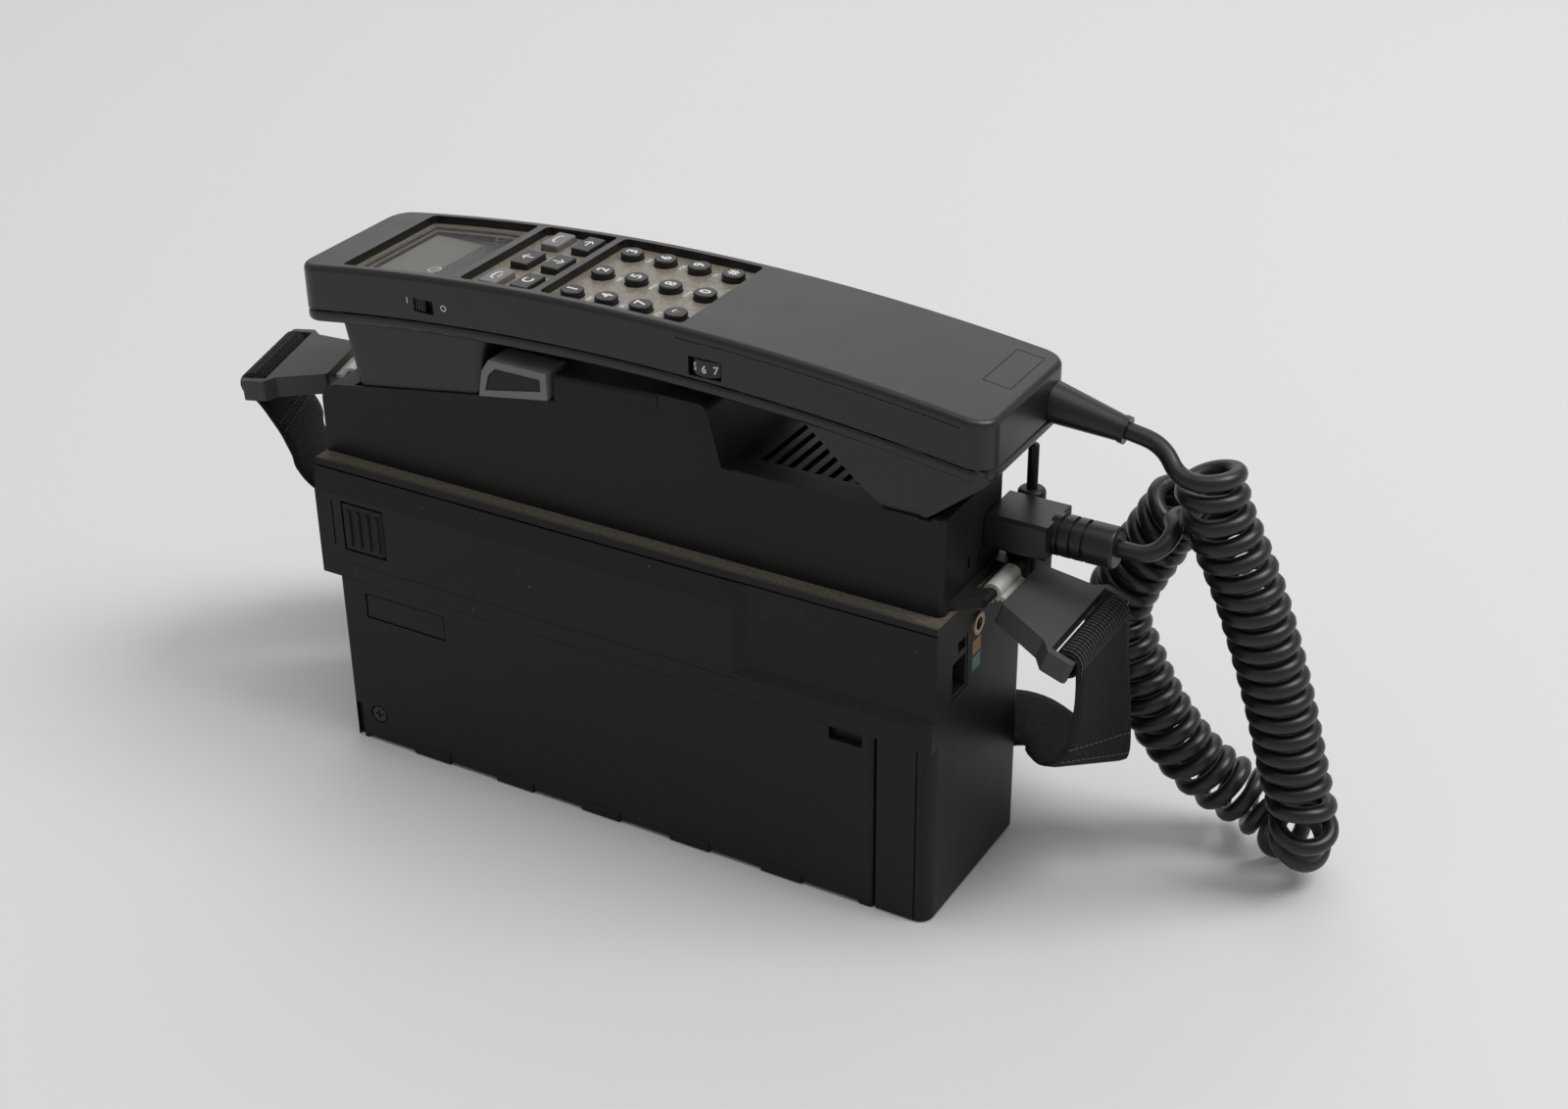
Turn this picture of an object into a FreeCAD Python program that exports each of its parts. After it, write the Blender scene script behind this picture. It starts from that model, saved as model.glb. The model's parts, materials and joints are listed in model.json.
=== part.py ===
"""Cellular bag phone: a battery pack under a radio unit, with a handset lying in a cradle on top.

Frame: origin on the floor under the middle of the body, +X along the body's long side to the
end with the sockets, +Y from the front to the back, +Z up.  All lengths are millimetres.
"""
import FreeCAD
import Part
import math
import os

V = FreeCAD.Vector
UP = V(0, 0, 1)
BACK = V(0, 1, 0)
OUT = V(1, 0, 0)
os.makedirs("parts", exist_ok=True)

# Body: the battery pack at the bottom and the radio unit above it
BODY_LENGTH = 208.0
BODY_DEPTH = 60.0
BATTERY_TOP = 59.5
RADIO_HEIGHT = 39.3
RADIO_OVERHANG = 6.2
END_BLOCK_LENGTH = 17.0
WALL = 2.2
SEAM = 0.1
END_GAP = 0.8
CASE_LIFT = 1.2
EDGE_ROUND = 1.6
CORNER_ROUND = 4.5

# Feet and skids under the battery pack
FOOT_COUNT = 5
FOOT_LENGTH = 13.8
FOOT_PITCH = 32.2
FOOT_FIRST_X = -73.2
FOOT_RISE = 3.4
FOOT_REACH = 8.0
FOOT_PROUD = 0.5
SKID_LENGTH = 5.4
KEEL_WIDTH = 8.0

# Battery cover, rails and cells
COVER_THICKNESS = 6.0
RAIL_STEM = 3.0
RAIL_HEAD = 7.0
RAIL_HEAD_HEIGHT = 2.0
RAIL_CLEARANCE = 0.3
RAIL_SPACING = 36.0
CELL_DIAMETER = 22.5
CELL_LENGTH = 43.0
CELL_ROW = 5
CELL_PITCH = 22.9
CONTACT_LENGTH = 9.0
CONTACT_WIDTH = 5.0
CONTACT_THICKNESS = 0.8

# Radio housing front: a raised panel on the left, set back on the right
PANEL_PROUD = 2.0
PANEL_END_X = 44.5
PANEL_BEVEL = 10.4
PANEL_SIDE_BEVEL = 4.8
PANEL_SEAM = 5.8
SILL_HEIGHT = 7.0
LATCH_ROOT_X = -84.0
LATCH_LENGTH = 15.6
LATCH_RISE = 11.0
LATCH_HEIGHT = 15.8
LATCH_SLOT = 0.7
LATCH_HINGE_GAP = 0.05
LATCH_RIBS = 4
LATCH_RIB_PITCH = 3.6

# Cradle on top of the radio
CRADLE_OVERHANG = 5.6
CRADLE_SETBACK = 1.6
SLOPE_FALL_LEFT = 46.6
SLOPE_FALL_RIGHT = 26.6
CRADLE_SLOPE_RIGHT_X = 13.1
CHEEK_FALL = 22.2
CHEEK_TOP_X = 28.4
CHEEK_FOOT_X = 33.2
DECK_RISE = 29.0
END_RIM = 3.9
END_RIM_RISE = 1.0
FRONT_RIM = 0.6
WEDGE_FALL = 24.4
GRILLE_LEFT = 37.6
GRILLE_LENGTH = 46.0
GRILLE_WIDTH = 37.0
GRILLE_THICKNESS = 2.0
GRILLE_LEDGE = 1.6
VENT_COUNT = 10
VENT_PITCH = 4.3
VENT_WIDTH = 2.1
SPEAKER_DIAMETER = 34.0
SPEAKER_DEPTH = 14.0
NOTCH_LENGTH = 8.0
NOTCH_WIDTH = 14.5

# Release button on the cradle's front wall
BUTTON_LEFT = -48.5
BUTTON_RIGHT = -24.2
BUTTON_FALL = 24.1
BUTTON_SLANT = 4.2
BUTTON_FRAME = 2.2
BUTTON_DEPTH = 10.0
BUTTON_PROUD = 0.9
BUTTON_TRAVEL = 2.5
INSERT_DEPTH = 2.0
LATCH_HOOK_WIDTH = 8.0
LATCH_HOOK_THICKNESS = 3.0

# Handset: an arched bar with a hump at each end
HANDSET_LENGTH = 229.0
HANDSET_WIDTH = 51.4
HANDSET_Y = 3.0
HANDSET_RISE = 69.3
HANDSET_BEND = 772.0
UPPER_DEPTH = 13.9
LIP_DEPTH = 4.3
HANDSET_WALL = 2.0
HANDSET_CORNER = 7.0
HANDSET_EDGE = 1.8
FACE_THICKNESS = 4.6
PANEL_DEPTH = 2.6
PANEL_WIDTH = 45.0
PART_LINE = 0.25
HUMP_INSET = 1.3
REST_GAP = 0.25
EAR_HUMP_LEFT = -101.7
EAR_HUMP_RIGHT = -46.0
EAR_HUMP_RISE = 15.1
EAR_HUMP_TAPER_LEFT = 8.0
EAR_HUMP_TAPER_RIGHT = 5.0
MOUTH_HUMP_LEFT = 57.9
MOUTH_FLAT_LEFT = 83.5
MOUTH_FLAT_RIGHT = 96.5
WELL_CLEARANCE = 1.0

# Recessed panels on the handset's face, left and right ends
DISPLAY_PANEL = (-98.5, -58.5)
FUNCTION_PANEL = (-55.5, -30.0)
NUMBER_PANEL = (-27.5, 20.0)
WINDOW_MARGIN = 3.0
WINDOW_THICKNESS = 1.6
WINDOW_SINK = 0.7
WINDOW_LEDGE = 1.6

# Keys
KEY_PITCH_X = 11.5
KEY_PITCH_Y = 15.65
KEY_FIRST_X = -20.7
KEY_DIAMETER = 6.8
KEY_HEIGHT = 2.1
KEY_CLEARANCE = 0.2
KEY_TRAVEL = 0.8
FLANGE_THICKNESS = 1.0
FLANGE_REACH = 0.7
FLANGE_GAP = 0.45
FUNCTION_FIRST_X = -47.0
FUNCTION_PITCH_X = 10.8
FUNCTION_KEY_LENGTH = 6.2
FUNCTION_KEY_WIDTH = 10.4
BOARD_FALL = 11.2
BOARD_THICKNESS = 1.6

# Side controls of the handset
SWITCH_X = -66.7
SWITCH_LENGTH = 7.0
SWITCH_HEIGHT = 4.2
SWITCH_FALL = 12.1
SLIDER_LENGTH = 3.6
WHEEL_X = 29.0
WHEEL_FALL = 10.7
WHEEL_DIAMETER = 15.0
WHEEL_THICKNESS = 5.0
WHEEL_WINDOW = 10.6
WHEEL_GAP = 0.35
WHEEL_AXLE = 1.5
RUNNING_CLEARANCE = 0.08

# Curly cord, its strain relief and its plug
WIRE_DIAMETER = 5.0
CURL_DIAMETER = 15.2
CURL_PITCH = 6.0
CURL_COUNT = 41.75
CURL_GAP = 0.75
CURL_SHARE = 0.25
RELIEF_Y = 20.0
RELIEF_FALL = 19.0
RELIEF_LENGTH = 21.5
RELIEF_DROP = 3.6
RELIEF_BASE_DIAMETER = 12.0
RELIEF_TIP_DIAMETER = 7.0
PLUG_WIDTH = 17.5
PLUG_HEIGHT = 10.4
PLUG_LENGTH = 18.4
PLUG_Y = 11.2
PLUG_RISE = 15.5
PLUG_NOSE = 6.0
PLUG_NOSE_MARGIN = 2.0
PLUG_RELIEF_LENGTH = 18.0
PLUG_RELIEF_DIAMETER = 12.0
PLUG_NOSE_CLEARANCE = 0.3
COIL_AXIS = [
    V(159.0, 21.5, 138.5),
    V(161.6, 22.0, 127.0),
    V(171.0, 27.1, 104.0),
    V(180.5, 33.0, 70.0),
    V(187.5, 36.3, 40.0),
    V(191.5, 36.2, 28.0),
    V(190.0, 43.5, 11.6),
    V(176.0, 57.5, 11.2),
    V(155.0, 51.0, 23.0),
    V(140.5, 44.0, 45.0),
    V(126.5, 41.0, 76.0),
    V(134.0, 39.4, 94.0),
    V(148.0, 37.4, 121.0),
]
LEAD_MIDDLE = V(150.0, 22.0, 120.0)
LEAD_WAY = V(0.6, -0.8, 0.0)

# Shoulder strap: webbing, moulded clips and sheet metal hooks
STRAP_Y_LEFT = 9.0
STRAP_Y_RIGHT = 1.0
WEBBING_WIDTH = 35.0
WEBBING_THICKNESS = 1.8
DROOP_LEFT = 3.0
DROOP_RIGHT = 19.0
YAW_LEFT = 16.0
LUG_THICKNESS = 3.2
LUG_REACH_LEFT = 11.5
LUG_REACH_RIGHT = 6.9
LUG_RISE_LEFT = 12.6
LUG_RISE_RIGHT = 1.7
LUG_WIDTH = 25.0
HOOK_WIDTH = 13.0
HOOK_THICKNESS = 1.2
HOOK_TAIL = 9.0
CLIP_START = 5.0
CLIP_PLATE_END = 23.5
CLIP_BAR = 29.0
CLIP_BAR_RADIUS = 2.1
CLIP_THICKNESS = 6.8
CLIP_NARROW = 25.0
CLIP_WIDE = 41.0
LOOP_GAP = 0.3
RIGHT_FALL = [
    (V(3.6, -17.6, -11.0), V(4.3, 17.4, -14.0)),
    (V(2.3, -18.0, -23.0), V(6.3, 17.0, -33.0)),
    (V(-1.7, -17.5, -31.7), V(6.8, 16.5, -46.2)),
    (V(-9.7, -9.0, -39.7), V(0.3, 23.5, -50.7)),
    (V(-22.2, 11.0, -52.2), V(-28.7, 45.0, -55.2)),
    (V(-34.2, 30.5, -64.7), V(-51.7, 60.5, -67.2)),
]
LEFT_FALL = [
    (V(7.9, -16.5, -6.4), V(-4.8, 16.8, -7.0)),
    (V(10.2, -16.0, -9.9), V(-4.3, 17.3, -12.0)),
    (V(12.1, -14.0, -15.9), V(-3.6, 19.0, -18.0)),
    (V(11.5, -11.0, -21.9), V(-3.0, 21.3, -23.0)),
    (V(10.3, -8.0, -27.1), V(-3.7, 23.5, -27.6)),
    (V(8.3, -4.0, -34.7), V(-5.9, 27.0, -36.7)),
    (V(5.7, 7.0, -47.7), V(-4.0, 40.0, -53.0)),
    (V(16.0, 19.0, -61.0), V(12.0, 53.0, -67.0)),
]
LOOP_TRIM = 0.2
LOOP_SWELL = 0.2
STRAP_BEHIND = 4.0
STRAP_LAYER = 2.3
STRAP_LIFT = 0.4
FOLD_LEFT_X = -30.0
FOLD_RIGHT_X = 40.0
ADJUSTER_X = 0.0
ADJUSTER_LENGTH = 22.0
ADJUSTER_RIM = 2.2

# Places that follow from the sizes above
X_LEFT = -BODY_LENGTH / 2
X_RIGHT = BODY_LENGTH / 2
CRADLE_LEFT = X_LEFT - CRADLE_OVERHANG
CRADLE_RIGHT = X_RIGHT - CRADLE_SETBACK
Y_FRONT = -BODY_DEPTH / 2
Y_BACK = BODY_DEPTH / 2
BATTERY_RIGHT = X_RIGHT - END_BLOCK_LENGTH - END_GAP
RADIO_BOTTOM = BATTERY_TOP + SEAM
RADIO_TOP = RADIO_BOTTOM + RADIO_HEIGHT
RADIO_LEFT = X_LEFT - RADIO_OVERHANG
LATCH_LOW_Z = RADIO_BOTTOM + LATCH_RISE
HANDSET_TOP = RADIO_TOP + HANDSET_RISE
DECK_Z = RADIO_TOP + DECK_RISE
EAR_HUMP_BOTTOM = RADIO_TOP + EAR_HUMP_RISE
PLUG_Z = RADIO_TOP + PLUG_RISE
CRADLE_SLOPE_LEFT_Z = HANDSET_TOP - SLOPE_FALL_LEFT
CRADLE_SLOPE_RIGHT_Z = HANDSET_TOP - SLOPE_FALL_RIGHT
CHEEK_TOP_Z = HANDSET_TOP - CHEEK_FALL
WEDGE_TOP_LEFT_Z = HANDSET_TOP - WEDGE_FALL
BUTTON_TOP_Z = HANDSET_TOP - BUTTON_FALL
BOARD_TOP = HANDSET_TOP - BOARD_FALL
SWITCH_Z = HANDSET_TOP - SWITCH_FALL
WHEEL_Z = HANDSET_TOP - WHEEL_FALL
RELIEF_Z = HANDSET_TOP - RELIEF_FALL
CRADLE_FRONT = HANDSET_Y - HANDSET_WIDTH / 2 + 0.4
CRADLE_BACK = HANDSET_Y + HANDSET_WIDTH / 2 - 0.4
PARTING = HANDSET_TOP - UPPER_DEPTH
LIP_BOTTOM = PARTING - LIP_DEPTH
FACE_INNER = HANDSET_TOP - FACE_THICKNESS
PANEL_FLOOR = HANDSET_TOP - PANEL_DEPTH
MOUTH_HUMP_BOTTOM = DECK_Z + REST_GAP
HALF_HANDSET = HANDSET_LENGTH / 2
PIVOT_LEFT = V(CRADLE_LEFT - LUG_REACH_LEFT, STRAP_Y_LEFT, RADIO_TOP + LUG_RISE_LEFT)
PIVOT_RIGHT = V(CRADLE_RIGHT + LUG_REACH_RIGHT, STRAP_Y_RIGHT, RADIO_TOP + LUG_RISE_RIGHT)
LEFT_END = (PIVOT_LEFT, DROOP_LEFT, YAW_LEFT)
RIGHT_END = (PIVOT_RIGHT, DROOP_RIGHT, 0.0)


def block(x0, x1, y0, y1, z0, z1):
    """A plain box between two corners."""
    return Part.makeBox(x1 - x0, y1 - y0, z1 - z0, V(x0, y0, z0))


def rod(start, direction, radius, length):
    """A round bar from a point along a direction."""
    return Part.makeCylinder(radius, length, start, direction)


def prism(points, direction):
    """A closed outline pushed along a direction."""
    wire = Part.makePolygon(points + [points[0]])
    return Part.Face(wire).extrude(direction)


def side_prism(outline, y0, y1):
    """An outline of (x, z) pairs pushed from y0 to y1."""
    return prism([V(x, y0, z) for x, z in outline], V(0, y1 - y0, 0))


def joined(shapes):
    """Several touching solids as one."""
    first, rest = shapes[0], list(shapes[1:])
    return first.fuse(rest).removeSplitter() if rest else first


def runs_along(edge, direction):
    """True where a straight edge is parallel to a direction."""
    if edge.Curve.TypeId != "Part::GeomLine":
        return False
    span = edge.Vertexes[-1].Point - edge.Vertexes[0].Point
    return span.Length > 1e-6 and abs(span.normalize().dot(direction)) > 0.999


def rounded(shape, radius, pick):
    """The shape with the edges that pick() names rounded."""
    edges = [e for e in shape.Edges if pick(e)]
    return shape.makeFillet(radius, edges) if edges else shape


def upright(edge):
    """True for vertical edges."""
    return runs_along(edge, UP)


def drop(x):
    """How far the handset's arch has fallen at x."""
    return HANDSET_BEND - math.sqrt(HANDSET_BEND ** 2 - x ** 2)


def arched(x0, x1, y0, y1, top, bottom):
    """A slab that follows the handset's arch, with its crown at top and its underside at bottom."""
    middle = (x0 + x1) / 2
    high = [V(x, y0, top - drop(x)) for x in (x0, middle, x1)]
    low = [V(x, y0, bottom - drop(x)) for x in (x1, middle, x0)]
    edges = [
        Part.Arc(*high).toShape(),
        Part.LineSegment(high[2], low[0]).toShape(),
        Part.Arc(*low).toShape(),
        Part.LineSegment(low[2], high[0]).toShape(),
    ]
    return Part.Face(Part.Wire(edges)).extrude(V(0, y1 - y0, 0))


def save(name, shape):
    """Write one named piece."""
    if shape.ShapeType != "Solid" and len(shape.Solids) == 1:
        shape = shape.Solids[0]
    bad = [i for i, s in enumerate(shape.Solids) if not s.isValid() or s.Volume <= 0]
    if bad:
        print("invalid solids in", name, bad)
    shape.exportStep("parts/" + name + ".step")
    print(f"{name}: {len(shape.Solids)} solid(s), {shape.Volume:.0f} mm3")


# Battery pack

def foot_places():
    """The left end of each rubber foot."""
    start = FOOT_FIRST_X - FOOT_LENGTH / 2
    return [start + i * FOOT_PITCH for i in range(FOOT_COUNT)]


def foot(x, side, gap=0.0):
    """One rubber foot on the bottom edge; side is -1 at the front and 1 at the back."""
    outer = side * (BODY_DEPTH / 2 + FOOT_PROUD)
    inner = side * (BODY_DEPTH / 2 - FOOT_REACH - gap)
    y0, y1 = sorted((outer, inner))
    return block(x - gap, x + FOOT_LENGTH + gap, y0, y1, -gap, FOOT_RISE + gap)


def rubber_feet():
    """The row of feet along each bottom edge."""
    feet = []
    for side in (-1, 1):
        for x in foot_places():
            pad = foot(x, side)
            outer_y = side * (BODY_DEPTH / 2 + FOOT_PROUD)
            feet.append(rounded(pad, 0.9, lambda e: runs_along(e, OUT)
                                and abs(e.Vertexes[0].Y - outer_y) < 0.01))
    return Part.makeCompound(feet)


def rail_profile(grow):
    """The T of one battery rail in the YZ plane, as (y, z) pairs from the radio's underside."""
    stem = RAIL_STEM / 2 + grow
    head = RAIL_HEAD / 2 + grow
    foot_z = BATTERY_TOP - COVER_THICKNESS / 2 - RAIL_HEAD_HEIGHT / 2 - grow
    shoulder = foot_z + RAIL_HEAD_HEIGHT + 2 * grow
    top = RADIO_BOTTOM + (1.0 if grow else 0.0)
    return [(-stem, top), (-stem, shoulder), (-head, shoulder), (-head, foot_z),
            (head, foot_z), (head, shoulder), (stem, shoulder), (stem, top)]


def rails(grow, x0, x1):
    """Both battery rails, grown for the slots that they run in."""
    bars = []
    for side in (-1, 1):
        centre = side * RAIL_SPACING / 2
        points = [V(x0, centre + y, z) for y, z in rail_profile(grow)]
        bars.append(prism(points, V(x1 - x0, 0, 0)))
    return bars


def contact_places():
    """The left front corner of each battery contact."""
    x = BATTERY_RIGHT - CONTACT_LENGTH - 12
    return [(x, y - CONTACT_WIDTH / 2) for y in (-9.0, 0.0, 9.0)]


COVER_SEAT = BATTERY_TOP - COVER_THICKNESS
COVER_FIT = 0.1
COVER_LEDGE = 1.0
CELL_LEFT = X_LEFT + WALL + 1.2
CELL_END = CELL_LEFT + CELL_ROW * CELL_PITCH + 1.0
CASE_SCREW_X = X_LEFT + 10.2
CASE_SCREW_Z = 10.6
CASE_SCREW_RADIUS = 2.7
CASE_SCREW_SINK = 0.8
BADGE_X = (-94.4, -63.8)
BADGE_Z = (46.9, 55.8)
BADGE_GROOVE = 0.45
GRIP_SLOT = (-14.7, -4.0)


def badge_recess():
    """The bare sunk field on the case's front, with a groove round it."""
    x0, x1 = BADGE_X
    z0, z1 = BADGE_Z
    g = BADGE_GROOVE
    field = block(x0, x1, Y_FRONT - 1, Y_FRONT + 0.25, z0, z1)
    frame = block(x0, x1, Y_FRONT - 1, Y_FRONT + 0.7, z0, z1)
    inner = block(x0 + g, x1 - g, Y_FRONT - 2, Y_FRONT + 1, z0 + g, z1 - g)
    return [field, frame.cut(inner)]


def rail_slots():
    """The T slots that the rails run in, open at the case's right end."""
    return rails(RAIL_CLEARANCE, X_LEFT + WALL + COVER_LEDGE + 1, BATTERY_RIGHT + 1)


def battery_case():
    """The pack case with its feet pockets, skids, cell divider and screw bosses."""
    shell = block(X_LEFT, BATTERY_RIGHT, Y_FRONT, Y_BACK, CASE_LIFT, BATTERY_TOP)
    shell = rounded(shell, EDGE_ROUND, upright)
    left_skid = block(X_LEFT, X_LEFT + SKID_LENGTH, Y_FRONT, Y_BACK, 0, CASE_LIFT + 1)
    right_skid = block(BATTERY_RIGHT - SKID_LENGTH, BATTERY_RIGHT, Y_FRONT, Y_BACK, 0, CASE_LIFT + 1)
    skids = [rounded(s, EDGE_ROUND, upright) for s in (left_skid, right_skid)]
    skids.append(block(X_LEFT + 1, BATTERY_RIGHT - 1, -KEEL_WIDTH / 2, KEEL_WIDTH / 2, 0,
                       CASE_LIFT + 1))
    shell = joined([shell] + skids)
    floor_z = CASE_LIFT + WALL
    inside = block(X_LEFT + WALL, BATTERY_RIGHT - WALL, Y_FRONT + WALL, Y_BACK - WALL,
                   floor_z, BATTERY_TOP + 1)
    shell = shell.cut(inside)
    divider = block(CELL_END, CELL_END + WALL, Y_FRONT + WALL / 2, Y_BACK - WALL / 2,
                    floor_z - 1, COVER_SEAT)
    pockets = []
    bosses = [divider]
    for x0 in (X_LEFT + WALL / 2, BATTERY_RIGHT - WALL - COVER_LEDGE):
        x1 = x0 + WALL / 2 + COVER_LEDGE
        bosses.append(block(x0, x1, Y_FRONT + WALL / 2, Y_BACK - WALL / 2, COVER_SEAT - 2, COVER_SEAT))
    for side in (-1, 1):
        for x in foot_places():
            y0, y1 = sorted((side * (Y_BACK - FOOT_REACH - WALL), side * (Y_BACK - WALL / 2)))
            bosses.append(block(x - WALL, x + FOOT_LENGTH + WALL, y0, y1,
                                floor_z - 1, FOOT_RISE + WALL))
            pockets.append(foot(x, side, 0.05))
        screw_y = side * (Y_BACK - CASE_SCREW_SINK)
        pockets.append(rod(V(CASE_SCREW_X, side * (Y_BACK + 1), CASE_SCREW_Z), BACK * -side,
                           CASE_SCREW_RADIUS + 0.5, 1 + CASE_SCREW_SINK))
        pockets.append(rod(V(CASE_SCREW_X, screw_y, CASE_SCREW_Z), BACK * -side, 1.55, 8))
        bosses.append(block(X_LEFT + WALL / 2, CASE_SCREW_X + 4, *sorted(
            (side * (Y_BACK - 7), side * (Y_BACK - WALL / 2))), floor_z - 1, CASE_SCREW_Z + 4))
    notch = block(X_LEFT + 0.8, X_LEFT + 3.4, Y_FRONT - 1, Y_FRONT + 1.5, -1, CASE_SCREW_Z + 2.4)
    grip_slot = block(BATTERY_RIGHT + GRIP_SLOT[0], BATTERY_RIGHT + GRIP_SLOT[1], Y_FRONT - 1,
                      Y_FRONT + WALL + 1, BATTERY_TOP - 4.7, BATTERY_TOP - 0.5)
    cuts = pockets + rail_slots() + badge_recess() + [notch, grip_slot]
    return joined([shell] + bosses).cut(cuts)


def battery_cover():
    """The lid let into the case's top, with a T slot for each rail and a window at each contact."""
    lid = block(X_LEFT + WALL + COVER_FIT, BATTERY_RIGHT - WALL - COVER_FIT, Y_FRONT + WALL + COVER_FIT,
                Y_BACK - WALL - COVER_FIT, COVER_SEAT, BATTERY_TOP)
    cuts = rail_slots()
    for x, y in contact_places():
        cuts.append(block(x, x + CONTACT_LENGTH, y, y + CONTACT_WIDTH,
                          BATTERY_TOP - CONTACT_THICKNESS, BATTERY_TOP + 1))
        cuts.append(rod(V(x + CONTACT_LENGTH / 2, y + CONTACT_WIDTH / 2, COVER_SEAT - 1), UP,
                        1.0, COVER_THICKNESS + 2))
    return lid.cut(cuts)


def battery_cells():
    """Two layers of cells lying across the pack."""
    cells = []
    radius = CELL_DIAMETER / 2
    for layer in range(2):
        z = FOOT_RISE + WALL + 0.1 + radius + layer * (CELL_DIAMETER + 0.2)
        for i in range(CELL_ROW):
            x = CELL_LEFT + (i + 0.5) * CELL_PITCH
            body = rod(V(x, -CELL_LENGTH / 2, z), BACK, radius, CELL_LENGTH)
            button_end = rod(V(x, CELL_LENGTH / 2, z), BACK, 3.2, 1.2)
            cells.append(joined([body, button_end]))
    return Part.makeCompound(cells)


def battery_contacts():
    """Plated pads let into the lid, each with a tail that goes down to the cells."""
    pads = []
    for x, y in contact_places():
        pad = block(x, x + CONTACT_LENGTH, y, y + CONTACT_WIDTH,
                    BATTERY_TOP - CONTACT_THICKNESS, BATTERY_TOP)
        tail = rod(V(x + CONTACT_LENGTH / 2, y + CONTACT_WIDTH / 2, COVER_SEAT - 6), UP, 0.95,
                   COVER_THICKNESS + 6 - CONTACT_THICKNESS)
        pads.append(joined([pad, tail]))
    return Part.makeCompound(pads)


def case_screws():
    """The two case screws low at the left end, front and back, each with a cross slot."""
    screws = []
    for side in (-1, 1):
        seat = V(CASE_SCREW_X, side * (Y_BACK - CASE_SCREW_SINK), CASE_SCREW_Z)
        head = rod(seat, BACK * side, CASE_SCREW_RADIUS, 0.7)
        shank = rod(seat, BACK * -side, 1.5, 6)
        y0, y1 = sorted((seat.y + side * 0.25, seat.y + side * 1))
        slots = [block(seat.x - 1.6, seat.x + 1.6, y0, y1, seat.z - 0.3, seat.z + 0.3),
                 block(seat.x - 0.3, seat.x + 0.3, y0, y1, seat.z - 1.6, seat.z + 1.6)]
        screws.append(joined([head, shank]).cut(slots))
    return Part.makeCompound(screws)


# Radio unit

def end_block():
    """The fixed end of the body beside the pack, hollow, with the seam of its end plate."""
    left = X_RIGHT - END_BLOCK_LENGTH
    body = block(left, X_RIGHT, Y_FRONT, Y_BACK, 0, RADIO_BOTTOM)
    body = rounded(body, CORNER_ROUND, lambda e: upright(e) and e.Vertexes[0].X > X_RIGHT - 0.1)
    body = rounded(body, 1.2, lambda e: abs(e.BoundBox.ZMax) < 0.01 and e.BoundBox.XMax > left + 1)
    hollow = block(left + WALL, X_RIGHT - WALL, Y_FRONT + WALL, Y_BACK - WALL,
                   WALL, RADIO_BOTTOM + 1)
    seam_x = X_RIGHT - CORNER_ROUND
    seam = block(seam_x - 0.25, seam_x + 0.25, Y_FRONT - 1, Y_FRONT + 0.5, -1, RADIO_BOTTOM + 1)
    back_seam = block(seam_x - 0.25, seam_x + 0.25, Y_BACK - 0.5, Y_BACK + 1, -1, RADIO_BOTTOM + 1)
    return body.cut([hollow, seam, back_seam])


def radio_front_y():
    """The front of the radio housing behind its raised panel."""
    return Y_FRONT + PANEL_PROUD


JACK_Y = -2.6
JACK_Z = RADIO_TOP - 10.9
JACK_RADIUS = 3.0
SOCKET_Y = (-19.0, -8.2)
SOCKET_Z = (RADIO_TOP - 28.3, RADIO_TOP - 15.5)
SOCKET_TAB_Z = RADIO_TOP - 10.3
SOCKET_TAB_Y = (-15.6, -8.6)


def latch_box(gap):
    """The box that the battery's release tab fills in the housing's front wall."""
    return block(LATCH_ROOT_X - LATCH_LENGTH - gap, LATCH_ROOT_X + (0.0 if gap else -0.02),
                 Y_FRONT - 1, radio_front_y() + WALL + 1,
                 LATCH_LOW_Z - gap, LATCH_LOW_Z + LATCH_HEIGHT + gap)


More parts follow.
